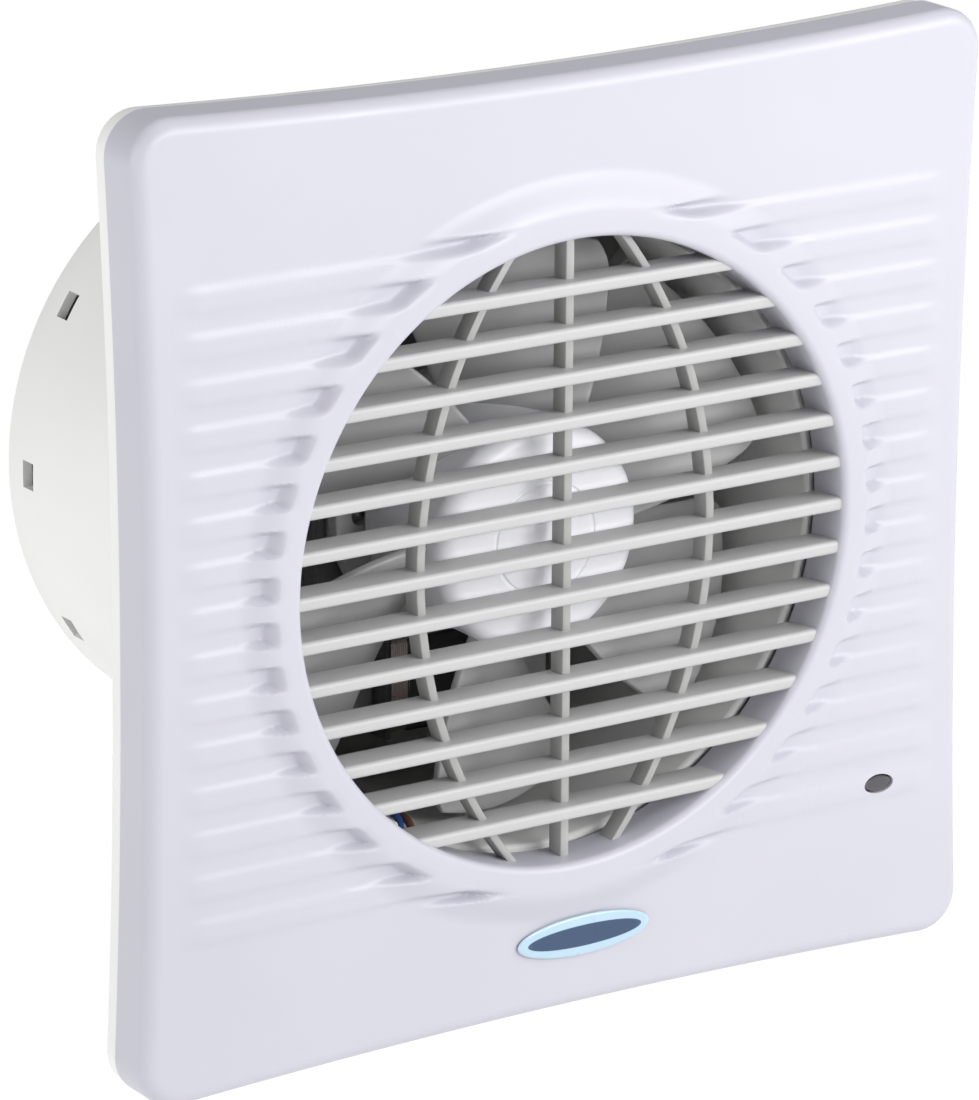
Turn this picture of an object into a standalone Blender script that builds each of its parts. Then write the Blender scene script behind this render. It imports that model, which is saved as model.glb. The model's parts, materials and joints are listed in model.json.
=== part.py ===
"""Axial bathroom extractor fan for a 100 mm duct.

The origin is where the duct's axis meets the wall. +Y runs into the wall, along the air
flow, -Y faces the room and +Z is up. The back of the wall plate lies in the plane y = 0.
All sizes are in metres, through the factor MM.
"""

import math

import bmesh
import bpy
from mathutils import Matrix, Vector

MM = 0.001
GAP = 0.3 * MM  # air between two pieces that touch
ROUND = 48  # facets of a large turned piece
SMALL_ROUND = 16  # facets of a small one
THROUGH = 1.0 * MM  # how far a cutter runs past what it cuts

# Front cover and wall plate: a square with sides that bow inwards a little.
PANEL_HALF = 75.0 * MM
SIDE_BOW = 2.1 * MM
CORNER_R = 6.5 * MM
PLATE_FRONT = -3.0 * MM
PLATE_INSET = 0.4 * MM
FACE_Y = -12.0 * MM
COVER_WALL = 1.8 * MM
COVER_BACK_Y = PLATE_FRONT - GAP
COVER_INNER_Y = FACE_Y + COVER_WALL
RIM_INSET = 2.2 * MM
RIM_WALL = 1.6 * MM
RIM_FRONT = -7.5 * MM
CLIP_AT = 66.9 * MM
CLIP_WIDTH = 9.0 * MM
CLIP_THICK = 1.3 * MM
CLIP_END = -1.0 * MM
WALL_BOSS_R = 4.2 * MM
WALL_HOLE_R = 2.3 * MM
WALL_BOSS_RISE = 1.4 * MM
BOARD_POST_R = 2.4 * MM
BOARD_PILOT_R = 1.25 * MM
PILOT_R = 1.35 * MM
CABLE_HOLE_R = 4.6 * MM
MOTOR_HOLE_R = 1.7 * MM
SCREW_HEAD_R = 2.1 * MM
SCREW_HEAD_DEPTH = 1.6 * MM
HOLE_FRONT_Y = -9.0 * MM  # room side end of the holes through the plate

# Duct spigot.
SPIGOT_R = 49.5 * MM
SPIGOT_LENGTH = 73.0 * MM
DUCT_R = 47.9 * MM
INLET_Y = -5.0 * MM

# Grille.
GRILLE_R = 48.6 * MM
SLEEVE_R = 50.2 * MM
SLEEVE_BACK_Y = -6.2 * MM
COLLAR_R = 57.6 * MM
RING_R = 52.4 * MM
COLLAR_TOP_Y = -14.3 * MM
SLAT_PITCH = 6.82 * MM
SLATS_EACH_WAY = 6
SLAT_THICK = 1.6 * MM
SLAT_FRONT_Y = -12.8 * MM
SLAT_BACK_Y = -6.5 * MM
RIB_THICK = 1.3 * MM
RIB_FRONT_Y = -10.0 * MM
RIB_BACK_Y = -6.9 * MM
RIB_ARC_R = 77.0 * MM
RIB_ARC_X = 26.0 * MM

# Impeller.
HUB_R = 18.0 * MM
HUB_APEX_Y = -4.8 * MM
HUB_BACK_Y = 18.0 * MM
HUB_WALL = 1.6 * MM
BLADE_COUNT = 6
BLADE_FIRST = 22.0
BLADE_ROOT_R = 17.2 * MM
BLADE_TIP_R = 45.2 * MM
BLADE_THICK = 1.5 * MM
BLADE_FRONT_Y = 0.6 * MM
BLADE_BACK_Y = 16.6 * MM
BLADE_ROOT_SPAN = 50.0
BLADE_TIP_SPAN = 44.0
BOSS_R = 5.0 * MM
SHAFT_R = 2.0 * MM
SHAFT_HOLE_R = SHAFT_R + GAP
SHAFT_FRONT_Y = 1.5 * MM
SHAFT_BACK_Y = 46.5 * MM

# Shaded-pole motor behind the impeller.
CARRIER_R = 21.0 * MM
CARRIER_Y = 21.0 * MM
CARRIER_BACK_Y = 23.6 * MM
ARM_HALF = 1.4 * MM
BRACKET_DEPTH = 1.2 * MM
STACK_Y = 26.5 * MM
STACK_BACK_Y = 40.5 * MM
STACK_HALF = 21.0 * MM
STACK_TOP = 17.5 * MM
LIMB_TOP = -25.0 * MM
LIMB_BOTTOM = -33.5 * MM
LEG_WIDTH = 9.0 * MM
ROTOR_R = 12.0 * MM
AIR_GAP = 0.5 * MM
MOTOR_SCREW_X = 16.7 * MM
CUP_R = 7.0 * MM
CUP_DEPTH = 4.6 * MM
BUSH_R = 4.6 * MM
COIL_HALF_X = 11.4 * MM
COIL_GROWTH = 3.6 * MM

# Back-draught shutter in the end of the spigot.
SHUTTER_FRONT_Y = 60.0 * MM
SHUTTER_BACK_Y = 70.0 * MM
SEAT_Y = 62.2 * MM
SEAT_R = 41.5 * MM
FRAME_R = 44.8 * MM
FLAP_R = 44.2 * MM
FLAP_THICK = 0.9 * MM
PIN_Y = 65.0 * MM
PIN_R = 1.0 * MM
PIN_HOLE_R = PIN_R + GAP
KNUCKLE_R = 2.2 * MM
LUG_FROM = 41.6 * MM
SPRING_WIRE_R = 0.25 * MM
SPRING_COIL_R = 1.7 * MM

# Pieces in the corners of the wall plate, as (x, z).
WALL_SCREW_AT = 66.5 * MM
LED_AT = Vector((57.8 * MM, -47.3 * MM))
BOARD_LOW = Vector((44.5 * MM, -61.0 * MM))
BOARD_HIGH = Vector((69.2 * MM, -41.5 * MM))
BOARD_BACK_Y = -4.6 * MM
BOARD_FRONT_Y = -6.2 * MM
BLOCK_LOW = Vector((-69.0 * MM, -61.0 * MM))
BLOCK_HIGH = Vector((-47.0 * MM, -50.0 * MM))
BLOCK_FRONT_Y = -9.7 * MM
TERMINAL_X = [-51.0 * MM, -58.0 * MM, -65.0 * MM]
TERMINAL_Z = -54.0 * MM
WIRE_HOLE_Y = -5.2 * MM
BLOCK_SCREW_AT = Vector((-61.5 * MM, -58.8 * MM))
GROMMET_AT = Vector((-62.0 * MM, -32.0 * MM))
CLAMP_AT = Vector((-60.0 * MM, -42.0 * MM))
CLAMP_REACH = 6.0 * MM
CLAMP_FRONT_Y = -7.2 * MM
LEAD_R = 0.65 * MM
LEAD_ON_PLATE_Y = PLATE_FRONT - GAP - LEAD_R
LEAD_ANGLE = 240.0
BADGE_AT = Vector((2.4 * MM, -61.2 * MM))
CAPACITOR_LOW = Vector((61.5 * MM, -54.4 * MM))
CAPACITOR_HIGH = Vector((68.4 * MM, -42.6 * MM))
CHIP_LOW = Vector((50.6 * MM, -50.0 * MM))
CHIP_HIGH = Vector((54.8 * MM, -45.2 * MM))
TRIMMER_AT = Vector((54.0 * MM, -54.2 * MM))
TRIMMER_HALF = 3.2 * MM
LEFT_KNUCKLES = ((-21.0 * MM, -5.0 * MM), (22.0 * MM, 38.0 * MM))
RIGHT_KNUCKLES = ((-38.0 * MM, -22.0 * MM), (5.0 * MM, 21.0 * MM))
LATCH_ANGLES = (0, 32, 148, 180, 212, 328)
LATCH_Y = 66.0 * MM


def clear_scene():
    for old in list(bpy.data.objects):
        bpy.data.objects.remove(old)


def collection_named(name):
    made = bpy.data.collections.new(name)
    bpy.context.scene.collection.children.link(made)
    return made


def finish_named(name, colour, roughness, metallic=0.0):
    """A Principled material."""
    made = bpy.data.materials.new(name)
    made.use_nodes = True
    shader = made.node_tree.nodes["Principled BSDF"]
    shader.inputs["Base Color"].default_value = (*colour, 1.0)
    shader.inputs["Roughness"].default_value = roughness
    shader.inputs["Metallic"].default_value = metallic
    return made


clear_scene()
PARTS = collection_named("bathroom_extractor_fan")
CUTTERS = collection_named("cutters")

WHITE = finish_named("white_abs", (0.86, 0.86, 0.90), 0.38)
BLADE_WHITE = finish_named("blade_white_pp", (0.80, 0.80, 0.83), 0.42)
SHUTTER_GREY = finish_named("shutter_grey", (0.13, 0.13, 0.135), 0.46)
STEEL = finish_named("zinc_steel", (0.62, 0.62, 0.64), 0.35, 1.0)
LAMINATION = finish_named("lamination_steel", (0.12, 0.12, 0.13), 0.5, 1.0)
COPPER = finish_named("copper_wire", (0.55, 0.22, 0.10), 0.4, 1.0)
BRONZE = finish_named("sintered_bronze", (0.50, 0.34, 0.16), 0.55, 1.0)
BOARD_GREEN = finish_named("board_laminate", (0.03, 0.20, 0.09), 0.45)
BLACK = finish_named("black_plastic", (0.02, 0.02, 0.022), 0.5)
RUBBER = finish_named("grey_rubber", (0.18, 0.18, 0.19), 0.8)
LENS = finish_named("smoked_lens", (0.10, 0.09, 0.11), 0.15)
BADGE_BLUE = finish_named("badge_blue", (0.42, 0.66, 0.90), 0.3)
BROWN_WIRE = finish_named("brown_insulation", (0.16, 0.06, 0.03), 0.5)
BLUE_WIRE = finish_named("blue_insulation", (0.02, 0.12, 0.45), 0.5)
CAP_YELLOW = finish_named("capacitor_yellow", (0.75, 0.55, 0.08), 0.4)
BLUE_PLASTIC = finish_named("trimmer_blue", (0.05, 0.20, 0.55), 0.4)


def show(obj, material):
    """Puts a finished piece into the object's own collection."""
    for holder in list(obj.users_collection):
        holder.objects.unlink(obj)
    PARTS.objects.link(obj)
    obj.data.materials.clear()
    obj.data.materials.append(material)
    return obj


def hide(obj):
    """Keeps a cutter or an unfinished half out of the model."""
    for holder in list(obj.users_collection):
        holder.objects.unlink(obj)
    CUTTERS.objects.link(obj)
    obj.hide_render = True
    obj.display_type = "WIRE"
    return obj


def new_object(name, build):
    """An object around the mesh that build fills in."""
    mesh = bpy.data.meshes.new(name)
    cage = bmesh.new()
    build(cage)
    cage.to_mesh(mesh)
    cage.free()
    obj = bpy.data.objects.new(name, mesh)
    bpy.context.scene.collection.objects.link(obj)
    return obj


def box(name, low, high, bevel=0.0, segments=2):
    """A box between two corners, with its edges rounded if bevel is given."""
    low, high = Vector(low), Vector(high)
    size, centre = high - low, (high + low) / 2

    def build(cage):
        bmesh.ops.create_cube(cage, size=1.0, matrix=Matrix.Diagonal((*size, 1.0)))

    obj = new_object(name, build)
    obj.location = centre
    if bevel:
        edge = obj.modifiers.new("edges", "BEVEL")
        edge.width = bevel
        edge.segments = segments
    return obj


def rod(name, radius, start, end, facets=SMALL_ROUND, end_radius=None):
    """A cylinder or a cone between two points."""
    start, end = Vector(start), Vector(end)
    along = end - start

    def build(cage):
        bmesh.ops.create_cone(
            cage,
            cap_ends=True,
            segments=facets,
            radius1=radius,
            radius2=radius if end_radius is None else end_radius,
            depth=along.length,
        )

    obj = new_object(name, build)
    obj.location = (start + end) / 2
    obj.rotation_euler = along.to_track_quat("Z", "Y").to_euler()
    obj.data.shade_smooth()
    obj.data.set_sharp_from_angle(angle=math.radians(40))
    return obj


def turned(name, outline, at=(0.0, 0.0), facets=ROUND, closed=True):
    """A profile of (radius, y) pairs, turned about the Y axis through x, z = at.

    The profile runs down its outer side, from the highest y to the lowest. A closed one makes a
    ring; an open one starts and ends on the axis.
    """
    profile = bpy.data.meshes.new(name)
    points = [(radius, y, 0.0) for radius, y in outline]
    edges = [(i, i + 1) for i in range(len(points) - 1)]
    if closed:
        edges.append((len(points) - 1, 0))
    profile.from_pydata(points, edges, [])
    obj = bpy.data.objects.new(name, profile)
    bpy.context.scene.collection.objects.link(obj)
    obj.location = (at[0], 0.0, at[1])
    spin = obj.modifiers.new("turn", "SCREW")
    spin.axis = "Y"
    spin.angle = math.tau
    spin.steps = facets
    spin.render_steps = facets
    spin.use_merge_vertices = True
    spin.merge_threshold = 0.00001
    spin.use_smooth_shade = False
    return obj


def as_mesh(obj):
    """The object with its modifiers, or its curve, turned into a plain mesh."""
    bpy.context.view_layer.update()
    graph = bpy.context.evaluated_depsgraph_get()
    mesh = bpy.data.meshes.new_from_object(obj.evaluated_get(graph))
    cage = bmesh.new()
    cage.from_mesh(mesh)
    bmesh.ops.remove_doubles(cage, verts=cage.verts, dist=0.00001)
    bmesh.ops.recalc_face_normals(cage, faces=cage.faces)
    cage.to_mesh(mesh)
    cage.free()
    name, place = obj.name, obj.matrix_world.copy()
    bpy.data.objects.remove(obj)
    made = bpy.data.objects.new(name, mesh)
    bpy.context.scene.collection.objects.link(made)
    made.matrix_world = place
    return made


def flat(name, outline, back_y, front_y):
    """A flat outline of (x, z) pairs, filled and given its thickness along Y."""
    data = bpy.data.curves.new(name, "CURVE")
    data.dimensions = "2D"
    data.fill_mode = "BOTH"
    data.extrude = abs(back_y - front_y) / 2
    line = data.splines.new("POLY")
    line.points.add(len(outline) - 1)
    for point, (x, z) in zip(line.points, outline):
        point.co = (x, z, 0.0, 1.0)
    line.use_cyclic_u = True
    obj = bpy.data.objects.new(name, data)
    bpy.context.scene.collection.objects.link(obj)
    obj.rotation_euler = (math.radians(90), 0.0, 0.0)
    obj.location = (0.0, (back_y + front_y) / 2, 0.0)
    return as_mesh(obj)


def wire(name, points, radius, material, resolution=2):
    """A round wire along a smooth curve through the given points."""
    data = bpy.data.curves.new(name, "CURVE")
    data.dimensions = "3D"
    data.bevel_depth = radius
    data.bevel_resolution = resolution
    data.use_fill_caps = True
    line = data.splines.new("POLY")
    line.points.add(len(points) - 1)
    for point, place in zip(line.points, points):
        point.co = (*place, 1.0)
    obj = bpy.data.objects.new(name, data)
    bpy.context.scene.collection.objects.link(obj)
    return show(obj, material)


def cut(obj, *cutters):
    """Takes each cutter's shape out of obj."""
    for number, cutter in enumerate(cutters):
        step = obj.modifiers.new(f"cut_{number}_{cutter.name}", "BOOLEAN")
        step.operation = "DIFFERENCE"
        step.object = hide(cutter)
    return obj


def join(obj, *others):
    """Fuses the others into obj."""
    for number, other in enumerate(others):
        step = obj.modifiers.new(f"join_{number}_{other.name}", "BOOLEAN")
        step.operation = "UNION"
        step.object = hide(other)
    return obj


def keep_inside(obj, mould):
    """Leaves only what lies inside the mould."""
    step = obj.modifiers.new(f"trim_{mould.name}", "BOOLEAN")
    step.operation = "INTERSECT"
    step.object = hide(mould)
    return obj


def panel_outline(inset):
    """The panel's outline, moved in by inset: four shallow hollow arcs and four round corners."""
    arc_r = (PANEL_HALF**2 + SIDE_BOW**2) / (2 * SIDE_BOW)
    arc_centre = PANEL_HALF - SIDE_BOW + arc_r
    reach = arc_r + CORNER_R
    corner = (arc_centre - math.sqrt(2 * reach**2 - arc_centre**2)) / 2
    lean = math.atan2(corner, arc_centre - corner)
    radius = CORNER_R - inset
    side_r = arc_r + inset
    corner_steps, side_steps = 6, 6
    quarter = []
    for step in range(corner_steps + 1):
        angle = -lean + (math.pi / 2 + 2 * lean) * step / corner_steps
        quarter.append(
            (corner + radius * math.cos(angle), corner + radius * math.sin(angle))
        )
    side_start = quarter[-1][0]
    for step in range(1, side_steps):
        x = side_start * (1 - 2 * step / side_steps)
        quarter.append((x, arc_centre - math.sqrt(side_r**2 - x**2)))
    outline = []
    for turn in range(4):
        cos, sin = (1, 0, -1, 0)[turn], (0, 1, 0, -1)[turn]
        outline += [(x * cos - z * sin, x * sin + z * cos) for x, z in quarter]
    return outline


def wall_screw_places():
    """The four wall-screw positions."""
    return [(x * WALL_SCREW_AT, z * WALL_SCREW_AT) for x in (-1, 1) for z in (-1, 1)]


def board_screw_places():
    """Where the control board is screwed down."""
    inset = 3.0 * MM
    return [
        (BOARD_LOW.x + inset, BOARD_HIGH.y - inset),
        (BOARD_HIGH.x - inset, BOARD_LOW.y + inset),
    ]


def clamp_screw_places():
    """Where the cable clamp is screwed down."""
    return [(CLAMP_AT.x + side * CLAMP_REACH, CLAMP_AT.y) for side in (-1, 1)]


def post(name, radius, place, back_y, front_y, facets=SMALL_ROUND):
    """A round post or hole along Y at an (x, z) place."""
    x, z = place
    return rod(name, radius, (x, back_y, z), (x, front_y, z), facets)


def about_axis(obj, degrees):
    """Swings a piece, modelled at +X, round the duct's axis towards +Z."""
    bpy.context.view_layer.update()
    obj.data.transform(obj.matrix_world)
    obj.matrix_world = Matrix.Rotation(math.radians(-degrees), 4, "Y")
    return obj


def clip_tab(name, quarter, width, thick, back_y, front_y):
    """A flat tab in the middle of one side of the panel."""
    tab = box(
        name,
        (CLIP_AT - thick / 2, front_y, -width / 2),
        (CLIP_AT + thick / 2, back_y, width / 2),
    )
    return about_axis(tab, 90 * quarter)


def make_casing():
    """Wall plate, locating rim, duct spigot and the motor's carrier: one moulding."""
    casing = flat("fan_casing", panel_outline(PLATE_INSET), 0.0, PLATE_FRONT)
    rim = flat("rim_outside", panel_outline(RIM_INSET), PLATE_FRONT + THROUGH, RIM_FRONT)
    rim_inside = panel_outline(RIM_INSET + RIM_WALL)
    cut(rim, flat("rim_inside", rim_inside, PLATE_FRONT + 2 * THROUGH, RIM_FRONT - THROUGH))
    posts = []
    for number, place in enumerate(wall_screw_places()):
        boss_top = PLATE_FRONT - WALL_BOSS_RISE
        posts.append(post(f"wall_boss_{number}", WALL_BOSS_R, place, PLATE_FRONT + THROUGH, boss_top))
    for number, place in enumerate(board_screw_places()):
        posts.append(
            post(f"board_post_{number}", BOARD_POST_R, place, PLATE_FRONT + THROUGH, BOARD_BACK_Y + GAP)
        )
    join(casing, rim, *posts)
    cut(casing, post("duct_bore", DUCT_R + 0.6 * MM, (0, 0), THROUGH, PLATE_FRONT - THROUGH, ROUND))
    tube = turned(
        "spigot_tube",
        [
            (DUCT_R, SPIGOT_LENGTH),
            (SPIGOT_R - 0.7 * MM, SPIGOT_LENGTH),
            (SPIGOT_R, SPIGOT_LENGTH - 1.2 * MM),
            (SPIGOT_R, INLET_Y),
            (DUCT_R + 0.5 * MM, INLET_Y),
            (DUCT_R, INLET_Y + 0.8 * MM),
        ],
    )
    carrier = turned(
        "carrier_disc",
        [
            (CARRIER_R, CARRIER_BACK_Y),
            (CARRIER_R, CARRIER_Y),
            (CUP_R + GAP, CARRIER_Y),
            (CUP_R + GAP, CARRIER_BACK_Y),
        ],
        facets=32,
    )
    arms = []
    for number in range(4):
        arm = box(
            f"carrier_arm_{number}",
            (CARRIER_R - THROUGH, CARRIER_Y, -ARM_HALF),
            (DUCT_R + 0.7 * MM, CARRIER_BACK_Y + THROUGH, ARM_HALF),
        )
        arms.append(about_axis(arm, 45 + 90 * number))
    join(casing, tube, *arms, carrier)
    holes = []
    for number, place in enumerate(wall_screw_places()):
        holes.append(post(f"wall_hole_{number}", WALL_HOLE_R, place, THROUGH, HOLE_FRONT_Y))
    for number, place in enumerate(board_screw_places()):
        holes.append(post(f"board_pilot_{number}", BOARD_PILOT_R, place, -THROUGH, HOLE_FRONT_Y, 12))
    for number, place in enumerate(clamp_screw_places() + [BLOCK_SCREW_AT]):
        holes.append(post(f"pilot_{number}", PILOT_R, place, -0.8 * MM, HOLE_FRONT_Y, 12))
    for side in (-1, 1):
        place = (side * MOTOR_SCREW_X, 0.0)
        holes.append(
            post(f"motor_hole_{side}", MOTOR_HOLE_R, place, CARRIER_BACK_Y + THROUGH, CARRIER_Y - THROUGH, 16)
        )
    holes.append(post("cable_hole", CABLE_HOLE_R, GROMMET_AT, THROUGH, HOLE_FRONT_Y))
    for quarter in range(4):
        slot = clip_tab(
            f"clip_slot_{quarter}",
            quarter,
            CLIP_WIDTH + 1.2 * MM,
            CLIP_THICK + THROUGH,
            THROUGH,
            PLATE_FRONT - THROUGH,
        )
        holes.append(slot)
    notch = box(
        "lead_notch",
        (DUCT_R - THROUGH, HOLE_FRONT_Y, -2.6 * MM),
        (SPIGOT_R + 2 * THROUGH, -0.4 * MM, 2.6 * MM),
    )
    holes.append(about_axis(notch, LEAD_ANGLE))
    for number, angle in enumerate(LATCH_ANGLES):
        window = box(
            f"latch_window_{number}",
            (DUCT_R - THROUGH, LATCH_Y - 1.6 * MM, -2.2 * MM),
            (SPIGOT_R + THROUGH, LATCH_Y + 1.6 * MM, 2.2 * MM),
        )
        holes.append(about_axis(window, angle))
    cut(casing, *holes)
    return show(casing, WHITE)


def make_cover():
    """Front cover: a shallow square shell with a raised collar round a slatted grille."""
    cover = flat("front_cover", panel_outline(0.0), COVER_BACK_Y, FACE_Y)
    hollow = panel_outline(COVER_WALL)
    cut(cover, flat("cover_hollow", hollow, COVER_BACK_Y + THROUGH, COVER_INNER_Y))
    collar = turned(
        "collar",
        [
            (SLEEVE_R, FACE_Y + THROUGH),
            (COLLAR_R, FACE_Y + THROUGH),
            (COLLAR_R, FACE_Y),
            (RING_R, COLLAR_TOP_Y + 0.3 * MM),
            (RING_R - 0.8 * MM, COLLAR_TOP_Y),
            (GRILLE_R + 0.8 * MM, COLLAR_TOP_Y),
            (GRILLE_R, COLLAR_TOP_Y + 0.6 * MM),
            (GRILLE_R, SLEEVE_BACK_Y),
            (SLEEVE_R, SLEEVE_BACK_Y),
        ],
    )
    cut(cover, post("grille_opening", GRILLE_R + 0.5 * MM, (0, 0), 0.0, -16.0 * MM, ROUND))
    join(cover, collar)
    end_r = SLEEVE_R - 0.9 * MM
    bars = []
    for number in range(-SLATS_EACH_WAY, SLATS_EACH_WAY + 1):
        z = number * SLAT_PITCH
        reach = math.sqrt(end_r**2 - z**2)
        bars.append(
            box(
                f"slat_{number}",
                (-reach, SLAT_FRONT_Y, z - SLAT_THICK / 2),
                (reach, SLAT_BACK_Y, z + SLAT_THICK / 2),
            )
        )
    bars.append(
        box("middle_rib", (-RIB_THICK / 2, RIB_FRONT_Y, -end_r), (RIB_THICK / 2, RIB_BACK_Y, end_r))
    )
    for side in (-1, 1):
        bow = turned(
            f"bowed_rib_{side}",
            [
                (RIB_ARC_R + RIB_THICK / 2, RIB_BACK_Y),
                (RIB_ARC_R + RIB_THICK / 2, RIB_FRONT_Y),
                (RIB_ARC_R - RIB_THICK / 2, RIB_FRONT_Y),
                (RIB_ARC_R - RIB_THICK / 2, RIB_BACK_Y),
            ],
            at=(side * (RIB_ARC_X - RIB_ARC_R), 0.0),
            facets=64,
        )
        mould = post(f"grille_mould_{side}", end_r, (0, 0), 0.0, -16.0 * MM, ROUND)
        bars.append(keep_inside(bow, mould))
    for quarter in range(4):
        clip_root = COVER_INNER_Y - THROUGH / 2
        bars.append(clip_tab(f"clip_{quarter}", quarter, CLIP_WIDTH, CLIP_THICK, CLIP_END, clip_root))
    join(cover, *bars)
    cut(cover, oval("window_hole", LED_AT, 2.75 * MM, 1.5 * MM, COVER_INNER_Y + THROUGH, FACE_Y - THROUGH))
    return show(cover, WHITE)


def oval(name, place, half_width, half_height, back_y, front_y, facets=SMALL_ROUND):
    """An upright oval plate along Y."""
    plate = post(name, half_height, place, back_y, front_y, facets)
    bpy.context.view_layer.update()
    plate.data.transform(plate.matrix_world)
    plate.matrix_world = Matrix.Identity(4)
    x = place[0]
    for vertex in plate.data.vertices:
        vertex.co.x = x + (vertex.co.x - x) * half_width / half_height
    return plate


def make_cover_fittings():
    """The lens over the indicator and the blank badge below the grille."""
    lens = oval("led_window", LED_AT, 2.45 * MM, 1.2 * MM, COVER_INNER_Y + 0.6 * MM, FACE_Y + 0.2 * MM)
    flange_back = COVER_INNER_Y + GAP + 0.8 * MM
    join(lens, oval("lens_flange", LED_AT, 3.2 * MM, 2.2 * MM, flange_back, COVER_INNER_Y + GAP))
    show(lens, LENS)
    badge = oval("badge", BADGE_AT, 12.0 * MM, 3.2 * MM, FACE_Y - GAP, FACE_Y - GAP - 0.6 * MM, 32)
    show(badge, BADGE_BLUE)


def blade(name, degrees):
    """A twisted blade with an even thickness, from inside the hub's skin to its tip."""
    chord_cells, span_cells = 5, 5

    def build(cage):
        bmesh.ops.create_grid(cage, x_segments=chord_cells, y_segments=span_cells, size=0.5)
        for vertex in cage.verts:
            along, out = vertex.co.x, vertex.co.y + 0.5
            radius = BLADE_ROOT_R + (BLADE_TIP_R - BLADE_ROOT_R) * out
            span = BLADE_ROOT_SPAN + (BLADE_TIP_SPAN - BLADE_ROOT_SPAN) * out
            sweep = 10.0 * out
            angle = math.radians(degrees + sweep + span * along)
            depth = BLADE_BACK_Y - BLADE_FRONT_Y
            shrink = 1.0 - 0.22 * out
            camber = 1.6 * MM * math.cos(math.pi * along)
            y = (BLADE_BACK_Y + BLADE_FRONT_Y) / 2 + depth * shrink * along - camber
            vertex.co = (radius * math.cos(angle), y, radius * math.sin(angle))

    made = new_object(name, build)
    skin = made.modifiers.new("thickness", "SOLIDIFY")
    skin.thickness = BLADE_THICK
    skin.offset = 0.0
    made = as_mesh(made)
    return made


def make_impeller():
    """Hub cap with its boss and six twisted blades."""
    edge_r = 3.0 * MM
    edge_y = HUB_APEX_Y + 4.0 * MM
    outline = [(0.0, HUB_BACK_Y), (HUB_R, HUB_BACK_Y)]
    steps = 5
    for step in range(steps + 1):
        angle = math.pi / 2 * step / steps
        outline.append((HUB_R - edge_r + edge_r * math.cos(angle), edge_y - edge_r * math.sin(angle)))
    outline.append((0.0, HUB_APEX_Y))
    hub = as_mesh(turned("impeller", outline, facets=32, closed=False))
    blades = [
        blade(f"blade_{number}", BLADE_FIRST + 360 / BLADE_COUNT * number)
        for number in range(BLADE_COUNT)
    ]
    join(hub, *blades)
    cavity_front = HUB_APEX_Y + 3.4 * MM
    cavity = turned(
        "hub_cavity",
        [
            (BOSS_R, HUB_BACK_Y + THROUGH),
            (HUB_R - HUB_WALL, HUB_BACK_Y + THROUGH),
            (HUB_R - HUB_WALL, cavity_front + THROUGH),
            (HUB_R - HUB_WALL - THROUGH, cavity_front),
            (BOSS_R, cavity_front),
        ],
        facets=32,
    )
    bore = post("shaft_bore", SHAFT_HOLE_R, (0, 0), HUB_BACK_Y + THROUGH, SHAFT_FRONT_Y - GAP)
    cut(hub, cavity, bore)
    return show(hub, BLADE_WHITE)


def ring(name, inner_r, outer_r, back_y, front_y, facets=32):
    """A plain bush or washer on the duct's axis."""
    return turned(
        name,
        [(outer_r, back_y), (outer_r, front_y), (inner_r, front_y), (inner_r, back_y)],
        facets=facets,
    )


def make_rotor_and_shaft():
    show(rod("motor_shaft", SHAFT_R, (0, SHAFT_BACK_Y, 0), (0, SHAFT_FRONT_Y, 0)), STEEL)
    rotor_gap = 0.6 * MM
    rotor = ring("rotor", SHAFT_HOLE_R, ROTOR_R, STACK_BACK_Y - rotor_gap, STACK_Y + rotor_gap)
    show(rotor, STEEL)
    clip_back = HUB_BACK_Y - 1.2 * MM
    clip = as_mesh(ring("hub_clip", BOSS_R + GAP, BOSS_R + 1.3 * MM, clip_back, clip_back - MM))
    cut(clip, box("clip_gap", (0, clip_back - 3 * MM, -MM), (BOSS_R * 2, clip_back + MM, MM)))
    show(clip, STEEL)


def motor_screw_holes(name, radius, back_y, front_y):
    """A pair of holes for the two long motor screws."""
    return [
        post(f"{name}_{side}", radius, (side * MOTOR_SCREW_X, 0.0), back_y, front_y, 16)
        for side in (-1, 1)
    ]


def make_stator():
    """Lamination stack: a block round the rotor, two legs and the limb that carries the coil."""
    stack = box(
        "stator_stack",
        (-STACK_HALF, STACK_Y, LIMB_BOTTOM),
        (STACK_HALF, STACK_BACK_Y, STACK_TOP),
        0.8 * MM,
        1,
    )
    window = box(
        "coil_window",
        (-STACK_HALF + LEG_WIDTH, STACK_Y - THROUGH, LIMB_TOP),
        (STACK_HALF - LEG_WIDTH, STACK_BACK_Y + THROUGH, -STACK_TOP),
    )
    bore = post("rotor_bore", ROTOR_R + AIR_GAP, (0, 0), STACK_BACK_Y + THROUGH, STACK_Y - THROUGH, 32)
    back_y, front_y = STACK_BACK_Y + THROUGH, STACK_Y - THROUGH
    cut(stack, window, bore, *motor_screw_holes("stack_hole", MOTOR_HOLE_R, back_y, front_y))
    show(stack, LAMINATION)


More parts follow.
